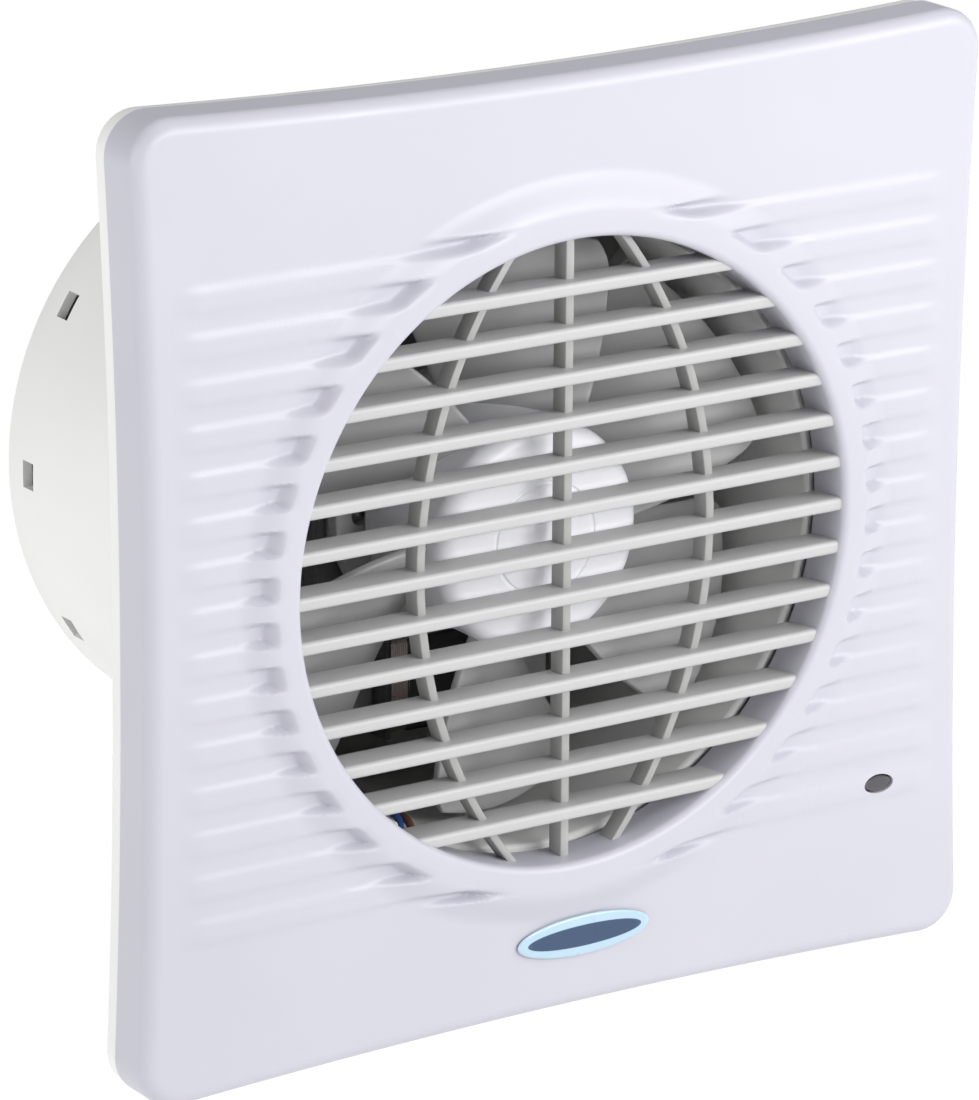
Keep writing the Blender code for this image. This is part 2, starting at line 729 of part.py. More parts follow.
def make_coil():
    """Bobbin round the lower limb, and the winding round the bobbin."""
    wall = 1.0 * MM
    limb_low = Vector((-COIL_HALF_X, STACK_Y - GAP, LIMB_BOTTOM - GAP))
    limb_high = Vector((COIL_HALF_X, STACK_BACK_Y + GAP, LIMB_TOP + GAP))
    out = Vector((0.0, 1.0, 1.0))
    bobbin = box("coil_bobbin", limb_low - out * wall, limb_high + out * wall)
    flange = COIL_GROWTH + 0.4 * MM
    flanges = []
    for side in (-1, 1):
        outer, inner = side * COIL_HALF_X, side * (COIL_HALF_X - wall)
        low = limb_low - out * flange
        high = limb_high + out * flange
        low.x, high.x = min(outer, inner), max(outer, inner)
        flanges.append(box(f"flange_{side}", low, high, 0.5 * MM, 1))
    join(bobbin, *flanges)
    along = Vector((THROUGH, 0.0, 0.0))
    cut(bobbin, box("limb_hole", limb_low - along, limb_high + along))
    show(bobbin, BLACK)
    inset = Vector((wall + GAP, -(wall + GAP), -(wall + GAP)))
    grown = Vector((wall + GAP, -COIL_GROWTH, -COIL_GROWTH))
    winding = box("coil_winding", limb_low + grown, limb_high - grown, 1.5 * MM, 3)
    cut(winding, box("winding_hole", limb_low + inset - along * 2, limb_high - inset + along * 2))
    show(winding, COPPER)


def make_bearings():
    """A bracket across each end of the rotor, with a sintered bush in its cup."""
    for end, stack_y, way in (("front", STACK_Y, -1), ("rear", STACK_BACK_Y, 1)):
        near = stack_y + way * GAP
        far = near + way * BRACKET_DEPTH
        tip = near + way * CUP_DEPTH
        half = 5.0 * MM
        reach = STACK_HALF - MM
        strip = box(f"{end}_bracket", (-reach, min(near, far), -half), (reach, max(near, far), half))
        cup = post(f"{end}_cup", CUP_R, (0, 0), max(near, tip), min(near, tip), 32)
        join(strip, cup)
        low, high = min(near, tip) - THROUGH, max(near, tip) + THROUGH
        bore = post(f"{end}_cup_bore", BUSH_R + GAP, (0, 0), high, low, 32)
        cut(strip, bore, *motor_screw_holes(f"{end}_hole", MOTOR_HOLE_R, high, low))
        show(strip, STEEL)
        bush_near, bush_far = near + way * 0.2 * MM, tip - way * 0.2 * MM
        bush = ring(
            f"{end}_bush", SHAFT_HOLE_R, BUSH_R, max(bush_near, bush_far), min(bush_near, bush_far)
        )
        show(bush, BRONZE)


def screw(name, place, head_back_y, shank_back_y, head_r, shank_r, head_depth, facing=-1, facets=12):
    """A slotted round-head screw along Y; facing is the way its head looks."""
    x, z = place
    top = head_back_y + facing * head_depth
    made = rod(name, head_r, (x, head_back_y, z), (x, top, z), facets, head_r * 0.8)
    shank_top = head_back_y + facing * head_depth / 2
    shank = rod(f"{name}_shank", shank_r, (x, shank_top, z), (x, shank_back_y, z), 8)
    join(made, shank)
    deep = top - facing * head_depth * 0.4
    slot = box(
        f"{name}_slot",
        (x - head_r * 1.2, min(deep, top + facing * MM), z - 0.25 * MM),
        (x + head_r * 1.2, max(deep, top + facing * MM), z + 0.25 * MM),
    )
    cut(made, slot)
    return show(made, STEEL)


def make_motor_screws():
    head_y = STACK_BACK_Y + GAP + BRACKET_DEPTH + GAP
    for side, label in ((-1, "left"), (1, "right")):
        place = (side * MOTOR_SCREW_X, 0.0)
        screw(f"motor_screw_{label}", place, head_y, CARRIER_Y, 3.0 * MM, 1.4 * MM, 2.2 * MM, 1)


def make_terminal_block():
    """Three-pole block with side wire holes, clamp screws and its own fixing screw."""
    block = box(
        "terminal_block",
        (BLOCK_LOW.x, BLOCK_FRONT_Y, BLOCK_LOW.y),
        (BLOCK_HIGH.x, LEAD_ON_PLATE_Y + LEAD_R, BLOCK_HIGH.y),
        0.5 * MM,
        1,
    )
    holes = []
    for number, x in enumerate(TERMINAL_X):
        low = (x, WIRE_HOLE_Y, BLOCK_LOW.y - THROUGH)
        holes.append(rod(f"wire_hole_{number}", 1.5 * MM, low, (x, WIRE_HOLE_Y, BLOCK_HIGH.y + THROUGH), 12))
        holes.append(
            post(f"clamp_hole_{number}", 1.8 * MM, (x, TERMINAL_Z), WIRE_HOLE_Y, BLOCK_FRONT_Y - THROUGH, 16)
        )
    holes.append(post("fixing_hole", 1.2 * MM, BLOCK_SCREW_AT, 0.0, BLOCK_FRONT_Y - THROUGH, 12))
    sink_y = BLOCK_FRONT_Y + 2.0 * MM
    holes.append(post("fixing_sink", 2.0 * MM, BLOCK_SCREW_AT, sink_y, BLOCK_FRONT_Y - THROUGH, 16))
    cut(block, *holes)
    show(block, WHITE)
    for number, x in enumerate(TERMINAL_X):
        screw(
            f"terminal_screw_{number + 1}",
            (x, TERMINAL_Z),
            BLOCK_FRONT_Y + 1.6 * MM,
            WIRE_HOLE_Y - LEAD_R - GAP,
            1.5 * MM,
            1.3 * MM,
            1.2 * MM,
        )
    screw("block_screw", BLOCK_SCREW_AT, sink_y - GAP, -1.2 * MM, 1.7 * MM, 0.9 * MM, 1.2 * MM)


def make_cable_entry():
    """Grommet in the plate's cable hole and the bar that clamps the cable beside it."""
    x, z = GROMMET_AT
    grommet = turned(
        "cable_grommet",
        [
            (4.3 * MM, -GAP),
            (4.3 * MM, PLATE_FRONT - GAP),
            (6.2 * MM, PLATE_FRONT - GAP),
            (5.8 * MM, PLATE_FRONT - GAP - 1.4 * MM),
            (2.8 * MM, PLATE_FRONT - GAP - 1.4 * MM),
            (2.8 * MM, -GAP),
        ],
        at=(x, z),
        facets=20,
    )
    show(grommet, RUBBER)
    half_x, half_z = CLAMP_REACH + 2.6 * MM, 2.6 * MM
    clamp = box(
        "cable_clamp",
        (CLAMP_AT.x - half_x, CLAMP_FRONT_Y, CLAMP_AT.y - half_z),
        (CLAMP_AT.x + half_x, PLATE_FRONT - GAP, CLAMP_AT.y + half_z),
        0.5 * MM,
        1,
    )
    tunnel_low = (CLAMP_AT.x, PLATE_FRONT, CLAMP_AT.y - 2 * half_z)
    tunnel = rod("clamp_tunnel", 3.0 * MM, tunnel_low, (CLAMP_AT.x, PLATE_FRONT, CLAMP_AT.y + 2 * half_z))
    holes = [
        post(f"clamp_hole_through_{number}", 1.5 * MM, place, 0.0, CLAMP_FRONT_Y - THROUGH, 12)
        for number, place in enumerate(clamp_screw_places())
    ]
    cut(clamp, tunnel, *holes)
    show(clamp, WHITE)
    head_y = CLAMP_FRONT_Y - GAP
    for number, place in enumerate(clamp_screw_places()):
        screw(
            f"clamp_screw_{number + 1}", place, head_y, -1.2 * MM, SCREW_HEAD_R, 1.05 * MM, SCREW_HEAD_DEPTH
        )


def make_board():
    """Run-on timer board with its indicator, capacitor, chip and trimmer."""
    board = box(
        "control_board",
        (BOARD_LOW.x, BOARD_FRONT_Y, BOARD_LOW.y),
        (BOARD_HIGH.x, BOARD_BACK_Y, BOARD_HIGH.y),
    )
    holes = [
        post(f"board_hole_{number}", 1.4 * MM, place, 0.0, BOARD_FRONT_Y - THROUGH, 12)
        for number, place in enumerate(board_screw_places())
    ]
    cut(board, *holes)
    show(board, BOARD_GREEN)
    seat = BOARD_FRONT_Y - GAP
    for number, place in enumerate(board_screw_places()):
        screw(f"board_screw_{number + 1}", place, seat, -2.0 * MM, SCREW_HEAD_R, 0.95 * MM, SCREW_HEAD_DEPTH)
    led = post("status_led", 1.9 * MM, LED_AT, seat, seat - 0.8 * MM, 16)
    join(led, post("led_dome", 1.5 * MM, LED_AT, seat, seat - 1.9 * MM, 16))
    show(led, LENS)
    capacitor = box(
        "film_capacitor",
        (CAPACITOR_LOW.x, seat - 3.3 * MM, CAPACITOR_LOW.y),
        (CAPACITOR_HIGH.x, seat, CAPACITOR_HIGH.y),
        0.5 * MM,
        2,
    )
    show(capacitor, CAP_YELLOW)
    chip = box(
        "timer_chip",
        (CHIP_LOW.x, seat - 1.5 * MM, CHIP_LOW.y),
        (CHIP_HIGH.x, seat, CHIP_HIGH.y),
        0.3 * MM,
        1,
    )
    show(chip, BLACK)
    half = Vector((TRIMMER_HALF, 0.0, TRIMMER_HALF))
    centre = Vector((TRIMMER_AT.x, 0.0, TRIMMER_AT.y))
    base_front = seat - 1.9 * MM
    base = box(
        "trimmer_base",
        centre - half + Vector((0, base_front, 0)),
        centre + half + Vector((0, seat, 0)),
        0.4 * MM,
        1,
    )
    show(base, BLUE_PLASTIC)
    dial = post("trimmer_dial", 2.2 * MM, TRIMMER_AT, base_front - GAP, base_front - GAP - 0.9 * MM)
    top = base_front - GAP - 0.9 * MM
    groove = box(
        "dial_groove",
        centre + Vector((-0.35 * MM, top - MM, -3.0 * MM)),
        centre + Vector((0.35 * MM, top + 0.5 * MM, 3.0 * MM)),
    )
    cut(dial, groove)
    show(dial, WHITE)


def make_shutter():
    """Frame, pin, two half-round flaps and two return springs of the back-draught shutter."""
    outer = DUCT_R - GAP
    frame = turned(
        "shutter_frame",
        [
            (FRAME_R, SHUTTER_BACK_Y),
            (outer, SHUTTER_BACK_Y),
            (outer, SHUTTER_FRONT_Y),
            (SEAT_R, SHUTTER_FRONT_Y),
            (SEAT_R, SEAT_Y),
            (FRAME_R, SEAT_Y),
        ],
    )
    frame = as_mesh(frame)
    bar_half = 3.0 * MM
    bar = box("seat_bar", (-bar_half, SHUTTER_FRONT_Y + 0.1 * MM, -43.0 * MM), (bar_half, SEAT_Y, 43.0 * MM))
    lugs = []
    for side in (-1, 1):
        ends = sorted((side * LUG_FROM, side * (FRAME_R + THROUGH)))
        lug_back = PIN_Y + KNUCKLE_R
        lugs.append(
            box(f"pin_lug_{side}", (-KNUCKLE_R, SEAT_Y - THROUGH, ends[0]), (KNUCKLE_R, lug_back, ends[1]))
        )
    join(frame, bar, *lugs)
    cut(frame, rod("pin_hole", PIN_HOLE_R, (0, PIN_Y, -49.0 * MM), (0, PIN_Y, 49.0 * MM), 16))
    show(frame, SHUTTER_GREY)
    show(rod("shutter_pin", PIN_R, (0, PIN_Y, -46.5 * MM), (0, PIN_Y, 46.5 * MM), 16), STEEL)
    for side, label, spans in ((-1, "left", LEFT_KNUCKLES), (1, "right", RIGHT_KNUCKLES)):
        make_flap(side, label, spans, LEFT_KNUCKLES + RIGHT_KNUCKLES)
        make_spring(side, label)


def make_flap(side, label, spans, all_spans):
    """One half-round flap with its share of the knuckles."""
    flap_front = SEAT_Y + GAP
    flap_back = flap_front + FLAP_THICK
    edge = 2.0 * MM
    flap = post(f"flap_{label}", FLAP_R, (0, 0), flap_back, flap_front, ROUND)
    far = 60.0 * MM
    away = sorted((-side * far, side * edge))
    cut(
        flap,
        box(f"other_half_{label}", (away[0], flap_front - MM, -far), (away[1], flap_back + MM, far)),
    )
    for end in (-1, 1):
        ends = sorted((end * (LUG_FROM - 0.5 * MM), end * far))
        clear = KNUCKLE_R + 1.3 * MM
        cut(
            flap,
            box(
                f"lug_clearance_{label}_{end}",
                (-clear, flap_front - MM, ends[0]),
                (clear, flap_back + MM, ends[1]),
            ),
        )
    pieces = []
    for number, (low, high) in enumerate(spans):
        pieces.append(
            rod(f"knuckle_{label}_{number}", KNUCKLE_R, (0, PIN_Y, low), (0, PIN_Y, high), 16)
        )
        web = sorted((side * GAP, side * (edge + 1.2 * MM)))
        pieces.append(
            box(
                f"web_{label}_{number}",
                (web[0], flap_front + 0.1 * MM, low + 0.5 * MM),
                (web[1], flap_back + 0.9 * MM, high - 0.5 * MM),
            )
        )
    join(flap, *pieces)
    cut(flap, rod(f"knuckle_bore_{label}", PIN_HOLE_R, (0, PIN_Y, -far), (0, PIN_Y, far), 16))
    show(flap, SHUTTER_GREY)


def make_spring(side, label):
    """A light torsion spring round the pin, with one leg on the bar and one on the flap."""
    turns, per_turn = 4, 8
    start_z = side * 0.7 * MM
    pitch = side * 0.8 * MM
    points = [(side * -1.4 * MM, SEAT_Y + GAP + 2 * SPRING_WIRE_R, start_z)]
    for step in range(turns * per_turn + 2):
        angle = -math.pi / 2 + side * math.tau * step / per_turn
        height = start_z + pitch * step / per_turn
        points.append(
            (SPRING_COIL_R * math.cos(angle), PIN_Y + SPRING_COIL_R * math.sin(angle), height)
        )
    flap_back = SEAT_Y + GAP + FLAP_THICK
    points.append((side * 9.0 * MM, flap_back + GAP + SPRING_WIRE_R, points[-1][2]))
    wire(f"flap_spring_{label}", points, SPRING_WIRE_R, STEEL, 1)


def smooth_route(points, between=2):
    """Points along a smooth curve through a lead's own route."""
    places = [Vector(point) * MM for point in points]
    places = [2 * places[0] - places[1], *places, 2 * places[-1] - places[-2]]
    route = []
    for a, b, c, d in zip(places, places[1:], places[2:], places[3:]):
        for step in range(between):
            t = step / between
            bend = (-a + c) * t + (2 * a - 5 * b + 4 * c - d) * t**2 + (-a + 3 * b - 3 * c + d) * t**3
            route.append(b + bend / 2)
    route.append(places[-2])
    return route


def make_leads():
    """The motor's two leads down the duct wall, and the board's two along the plate."""
    plate_y = LEAD_ON_PLATE_Y / MM
    board_y = (BOARD_FRONT_Y - GAP - LEAD_R) / MM
    hole_y = WIRE_HOLE_Y / MM
    brown = [
        (-12.3, 33.0, -36.0),
        (-15.5, 30.0, -38.3),
        (-20.0, 25.5, -40.6),
        (-22.3, 19.0, -41.2),
        (-22.5, 10.0, -41.1),
        (-22.5, 1.0, -41.1),
        (-22.8, -2.9, -41.6),
        (-24.0, -4.6, -43.8),
        (-26.0, -4.2, -46.4),
        (-29.0, plate_y, -48.6),
        (-36.0, plate_y, -49.4),
        (-43.0, -4.3, -48.5),
        (-48.4, -5.0, -48.0),
        (-50.6, hole_y, -49.2),
        (-51.0, hole_y, -51.5),
        (-51.0, hole_y, -54.9),
    ]
    blue = [
        (-12.3, 37.0, -34.5),
        (-16.5, 33.5, -36.6),
        (-21.8, 28.0, -39.3),
        (-24.1, 19.0, -40.2),
        (-24.4, 10.0, -40.1),
        (-24.4, 1.0, -40.1),
        (-24.8, -2.9, -40.6),
        (-26.2, -4.6, -42.7),
        (-28.6, -4.2, -45.0),
        (-32.0, plate_y, -46.3),
        (-37.0, plate_y, -46.9),
        (-43.0, -4.3, -46.2),
        (-50.0, -5.0, -46.3),
        (-55.6, hole_y, -46.8),
        (-57.6, hole_y, -48.6),
        (-58.0, hole_y, -51.0),
        (-58.0, hole_y, -54.9),
    ]
    live = [
        (-51.0, hole_y, -56.4),
        (-51.0, hole_y, -59.5),
        (-50.6, -4.9, -61.4),
        (-48.6, -4.3, -62.5),
        (-44.0, plate_y, -62.6),
        (-20.0, plate_y, -62.6),
        (5.0, plate_y, -62.6),
        (30.0, plate_y, -62.5),
        (38.0, -4.4, -61.4),
        (42.0, -6.2, -59.2),
        (44.0, board_y, -57.9),
        (47.2, board_y, -57.2),
    ]
    neutral = [
        (-58.0, hole_y, -56.4),
        (-58.0, hole_y, -60.0),
        (-57.6, -4.9, -63.0),
        (-55.4, -4.3, -64.4),
        (-51.0, plate_y, -64.6),
        (-20.0, plate_y, -64.6),
        (5.0, plate_y, -64.6),
        (32.0, plate_y, -64.6),
        (40.0, -4.9, -63.4),
        (43.0, -6.6, -61.4),
        (44.6, board_y, -60.3),
        (47.2, board_y, -59.6),
    ]
    routes = (
        ("motor_lead_brown", brown, BROWN_WIRE),
        ("motor_lead_blue", blue, BLUE_WIRE),
        ("board_lead_brown", live, BROWN_WIRE),
        ("board_lead_blue", neutral, BLUE_WIRE),
    )
    for name, route, colour in routes:
        wire(name, smooth_route(route), LEAD_R, colour, 1)


make_casing()
make_stator()
make_coil()
make_bearings()
make_motor_screws()
make_rotor_and_shaft()
make_impeller()
make_shutter()
make_cable_entry()
make_terminal_block()
make_board()
make_leads()
make_cover()
make_cover_fittings()
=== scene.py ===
import json
import math

import bmesh
import bpy
from mathutils import Matrix, Vector

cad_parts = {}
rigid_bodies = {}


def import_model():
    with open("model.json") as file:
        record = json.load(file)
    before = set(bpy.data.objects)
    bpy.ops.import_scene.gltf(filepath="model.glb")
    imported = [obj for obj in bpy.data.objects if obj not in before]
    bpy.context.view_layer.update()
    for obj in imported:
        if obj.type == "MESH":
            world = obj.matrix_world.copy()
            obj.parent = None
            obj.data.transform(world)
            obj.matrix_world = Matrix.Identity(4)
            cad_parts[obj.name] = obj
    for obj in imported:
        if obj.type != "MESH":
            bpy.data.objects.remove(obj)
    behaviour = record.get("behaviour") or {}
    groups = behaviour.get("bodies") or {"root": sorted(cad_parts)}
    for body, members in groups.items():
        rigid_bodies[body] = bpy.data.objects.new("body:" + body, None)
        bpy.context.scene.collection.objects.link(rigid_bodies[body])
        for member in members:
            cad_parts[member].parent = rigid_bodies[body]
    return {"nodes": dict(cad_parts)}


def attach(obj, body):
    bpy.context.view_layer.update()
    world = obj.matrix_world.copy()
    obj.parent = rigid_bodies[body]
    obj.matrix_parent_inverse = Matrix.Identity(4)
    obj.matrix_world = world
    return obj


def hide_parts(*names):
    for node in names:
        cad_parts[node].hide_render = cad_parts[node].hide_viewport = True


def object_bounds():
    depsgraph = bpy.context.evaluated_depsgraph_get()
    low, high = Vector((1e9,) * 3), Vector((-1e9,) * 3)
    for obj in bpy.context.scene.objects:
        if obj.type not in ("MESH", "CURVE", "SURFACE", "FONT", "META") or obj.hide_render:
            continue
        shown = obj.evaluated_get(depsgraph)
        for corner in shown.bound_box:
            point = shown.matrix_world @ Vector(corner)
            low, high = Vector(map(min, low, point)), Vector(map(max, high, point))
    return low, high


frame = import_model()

cad_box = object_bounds()
MM = 0.001

# ---------------------------------------------------------------------------
# Studio: a light table under the fan's lowest edge, soft lights round it, and a
# long lens that looks down a little on the front from the left.
# ---------------------------------------------------------------------------

for old in list(bpy.data.objects):
    if old.type in ("LIGHT", "CAMERA"):
        bpy.data.objects.remove(old)

ROOM_GLOW = 0.20
BACKDROP_GLOW = 0.97
TABLE_GLOW = 0.96
TABLE_WIDTH = 6.0
TABLE_GAP = 0.5 * MM

world = bpy.data.worlds.new("studio")
bpy.context.scene.world = world
world.use_nodes = True
backdrop = world.node_tree.nodes["Background"]
backdrop.inputs["Color"].default_value = (1.0, 1.0, 1.0, 1.0)
seen = world.node_tree.nodes.new("ShaderNodeLightPath")
glow = world.node_tree.nodes.new("ShaderNodeMapRange")
glow.inputs["To Min"].default_value = ROOM_GLOW
glow.inputs["To Max"].default_value = BACKDROP_GLOW
world.node_tree.links.new(seen.outputs["Is Camera Ray"], glow.inputs["Value"])
world.node_tree.links.new(glow.outputs["Result"], backdrop.inputs["Strength"])
bpy.context.scene.view_settings.view_transform = "Standard"

bpy.ops.mesh.primitive_plane_add(size=TABLE_WIDTH, location=(0.0, 0.0, cad_box[0][2] - TABLE_GAP))
floor = bpy.context.object
floor.name = "floor"
floor_paint = bpy.data.materials.new("floor_paint")
floor_paint.use_nodes = True
floor_shader = floor_paint.node_tree.nodes["Principled BSDF"]
floor_shader.inputs["Base Color"].default_value = (0.05, 0.05, 0.05, 1.0)
floor_shader.inputs["Emission Color"].default_value = (1.0, 1.0, 1.0, 1.0)
floor_shader.inputs["Emission Strength"].default_value = TABLE_GLOW
floor_shader.inputs["Roughness"].default_value = 0.9
floor.data.materials.append(floor_paint)


def add_softbox(name, place, width, height, watts):
    """A soft white light at place, turned towards the fan's middle."""
    light = bpy.data.lights.new(name, "AREA")
    light.shape = "RECTANGLE"
    light.size = width
    light.size_y = height
    light.energy = watts
    holder = bpy.data.objects.new(name, light)
    bpy.context.scene.collection.objects.link(holder)
    holder.location = place
    holder.rotation_euler = (-Vector(place)).to_track_quat("-Z", "Y").to_euler()


add_softbox("key_light", (0.34, -0.36, 0.26), width=0.40, height=0.30, watts=1.6)
add_softbox("front_light", (0.17, -0.65, 0.21), width=0.50, height=0.14, watts=2.6)
add_softbox("top_light", (0.0, 0.3, 1.3), width=1.6, height=1.6, watts=7.0)
add_softbox("left_fill", (-1.2, -0.1, 0.35), width=0.9, height=0.9, watts=7.4)

CAMERA_TURN = math.radians(-33.19)
CAMERA_RISE = math.radians(17.26)
CAMERA_ROLL = math.radians(0.36)
CAMERA_AWAY = 0.9316
CAMERA_AIM = Vector((-0.0149, -0.0120, 0.0028))
back = Vector(
    (
        math.sin(CAMERA_TURN) * math.cos(CAMERA_RISE),
        -math.cos(CAMERA_TURN) * math.cos(CAMERA_RISE),
        math.sin(CAMERA_RISE),
    )
)
lens = bpy.data.cameras.new("camera")
lens.sensor_fit = "AUTO"
lens.sensor_width = 36.0
lens.lens = 206.1
lens.clip_start = 0.05
camera = bpy.data.objects.new("camera", lens)
bpy.context.scene.collection.objects.link(camera)
camera.location = CAMERA_AIM + back * CAMERA_AWAY
look = back.to_track_quat("Z", "Y").to_matrix().to_4x4()
camera.matrix_world = (
    Matrix.Translation(camera.location) @ look @ Matrix.Rotation(CAMERA_ROLL, 4, "Z")
)
bpy.context.scene.camera = camera

# ---------------------------------------------------------------------------
# Casing: wall plate, locating rim, duct spigot and the motor's carrier are one
# injection moulding in warm-white ABS. Four screws through its corner bosses
# hold it to the wall, and small windows in the spigot's end latch the shutter.
# ---------------------------------------------------------------------------

PANEL_HALF = 75.0 * MM
SIDE_BOW = 2.1 * MM
CORNER_R = 6.5 * MM
SPIGOT_R = 49.5 * MM
SPIGOT_END_Y = 73.0 * MM
DUCT_R = 47.9 * MM
INLET_Y = -5.0 * MM
PLATE_FRONT_Y = -3.0 * MM
CARRIER_Y = 21.0 * MM
CARRIER_BACK_Y = 23.6 * MM
CARRIER_R = 21.0 * MM
WALL_SCREW_AT = 66.5 * MM
MOTOR_SCREW_X = 16.7 * MM
LATCH_ANGLES = (0, 32, 148, 180, 212, 328)
LATCH_Y = 66.0 * MM
WINDOW_HALF_Y = 1.6 * MM
WINDOW_HALF_WIDTH = 2.2 * MM
BESIDE_WINDOW = 2.2 * MM
LEAD_ANGLE = 240
NOTCH_HALF = 2.6 * MM
CABLE_AT = (-62.0 * MM, -32.0 * MM)
CABLE_HOLE_R = 4.6 * MM
WALL_HOLE_R = 2.3 * MM
MOTOR_HOLE_R = 1.7 * MM
ARM_HALF = 1.4 * MM
CLIP_AT = 66.9 * MM
CLIP_WIDTH = 9.0 * MM
CLIP_THICK = 1.3 * MM
HOLE_FRONT_Y = -9.0 * MM
THROUGH = 1.0 * MM  # how far a cutter runs past what it cuts
BOARD_SCREWS = ((47.5 * MM, -44.5 * MM), (66.2 * MM, -58.0 * MM))


def new_group(name, inputs, outputs):
    """An empty shader group with its sockets, and its input and output nodes."""
    group = bpy.data.node_groups.new(name, "ShaderNodeTree")
    for label, kind, value in inputs:
        socket = group.interface.new_socket(label, in_out="INPUT", socket_type=kind)
        socket.default_value = value
    for label, kind in outputs:
        group.interface.new_socket(label, in_out="OUTPUT", socket_type=kind)
    return group, group.nodes.new("NodeGroupInput"), group.nodes.new("NodeGroupOutput")


def add_noise(tree, coordinate, scale, detail, roughness=0.5):
    noise = tree.nodes.new("ShaderNodeTexNoise")
    noise.inputs["Scale"].default_value = scale
    noise.inputs["Detail"].default_value = detail
    noise.inputs["Roughness"].default_value = roughness
    tree.links.new(coordinate, noise.inputs["Vector"])
    return noise.outputs["Fac"]


def add_range(tree, value, low, high, new_low, new_high):
    """Maps value from low..high to new_low..new_high and clamps it."""
    node = tree.nodes.new("ShaderNodeMapRange")
    for socket, number in zip(("From Min", "From Max", "To Min", "To Max"), (low, high, new_low, new_high)):
        node.inputs[socket].default_value = number
    tree.links.new(value, node.inputs["Value"])
    return node.outputs["Result"]


def add_math(tree, operation, first, second):
    node = tree.nodes.new("ShaderNodeMath")
    node.operation = operation
    for socket, value in zip(node.inputs, (first, second)):
        if isinstance(value, (int, float)):
            socket.default_value = value
        else:
            tree.links.new(value, socket)
    return node.outputs["Value"]


def add_mix(tree, factor, first, second):
    """Mixes two colours, each a socket or a value."""
    node = tree.nodes.new("ShaderNodeMix")
    node.data_type = "RGBA"
    colour_a = [s for s in node.inputs if s.name == "A" and s.type == "RGBA"][0]
    colour_b = [s for s in node.inputs if s.name == "B" and s.type == "RGBA"][0]
    factor_in = [s for s in node.inputs if s.name == "Factor" and s.type == "VALUE"][0]
    for socket, value in ((factor_in, factor), (colour_a, first), (colour_b, second)):
        if hasattr(value, "is_linked"):
            tree.links.new(value, socket)
        else:
            socket.default_value = value
    return [s for s in node.outputs if s.type == "RGBA"][0]


def build_moulded_skin():
    """Fine mould grain, faint cloudy tone and paler sharp edges as a painted highlight, for every plastic
    piece.
    """
    group, given, out = new_group(
        "moulded_skin",
        [
            ("Colour", "NodeSocketColor", (0.8, 0.8, 0.8, 1.0)),
            ("Cloud Colour", "NodeSocketColor", (0.7, 0.7, 0.7, 1.0)),
            ("Edge Highlight Colour", "NodeSocketColor", (0.9, 0.9, 0.9, 1.0)),
            ("Roughness", "NodeSocketFloat", 0.4),
            ("Grain Scale", "NodeSocketFloat", 2200.0),
        ],
        [
            ("Colour", "NodeSocketColor"),
            ("Roughness", "NodeSocketFloat"),
            ("Height", "NodeSocketFloat"),
        ],
    )
    place = group.nodes.new("ShaderNodeTexCoord").outputs["Object"]
    grain = group.nodes.new("ShaderNodeTexNoise")
    grain.inputs["Detail"].default_value = 2.0
    group.links.new(place, grain.inputs["Vector"])
    group.links.new(given.outputs["Grain Scale"], grain.inputs["Scale"])
    cloud = add_range(group, add_noise(group, place, scale=28.0, detail=4.0), 0.35, 0.75, 0.0, 1.0)
    # Sharp edges are mixed towards the edge colour: a painted highlight.
    edge = group.nodes.new("ShaderNodeNewGeometry").outputs["Pointiness"]
    edge_highlight = add_range(group, edge, 0.52, 0.60, 0.0, 1.0)
    tone = add_mix(group, cloud, given.outputs["Colour"], given.outputs["Cloud Colour"])
    tone = add_mix(group, edge_highlight, tone, given.outputs["Edge Highlight Colour"])
    group.links.new(tone, out.inputs["Colour"])
    smear = add_range(group, add_noise(group, place, scale=60.0, detail=3.0), 0.3, 0.7, -0.04, 0.05)
    group.links.new(add_math(group, "ADD", given.outputs["Roughness"], smear), out.inputs["Roughness"])
    group.links.new(grain.outputs["Fac"], out.inputs["Height"])
    return group


moulded_skin = build_moulded_skin()


def moulded_plastic(name, colour, cloud, edge, roughness, grain_depth=0.02, coat=0.0):
    """A moulded plastic: the shared skin around one Principled shader."""
    material = bpy.data.materials.new(name)
    material.use_nodes = True
    tree = material.node_tree
    shader = tree.nodes["Principled BSDF"]
    skin = tree.nodes.new("ShaderNodeGroup")
    skin.node_tree = moulded_skin
    skin.inputs["Colour"].default_value = (*colour, 1.0)
    skin.inputs["Cloud Colour"].default_value = (*cloud, 1.0)
    # The edge colour is a painted highlight on sharp edges.
    skin.inputs["Edge Highlight Colour"].default_value = (*edge, 1.0)
    skin.inputs["Roughness"].default_value = roughness
    bump = tree.nodes.new("ShaderNodeBump")
    bump.inputs["Strength"].default_value = 0.25
    bump.inputs["Distance"].default_value = grain_depth * MM
    tree.links.new(skin.outputs["Colour"], shader.inputs["Base Color"])
    tree.links.new(skin.outputs["Roughness"], shader.inputs["Roughness"])
    tree.links.new(skin.outputs["Height"], bump.inputs["Height"])
    tree.links.new(bump.outputs["Normal"], shader.inputs["Normal"])
    shader.inputs["IOR"].default_value = 1.5
    shader.inputs["Coat Weight"].default_value = coat
    shader.inputs["Coat Roughness"].default_value = 0.15
    return material


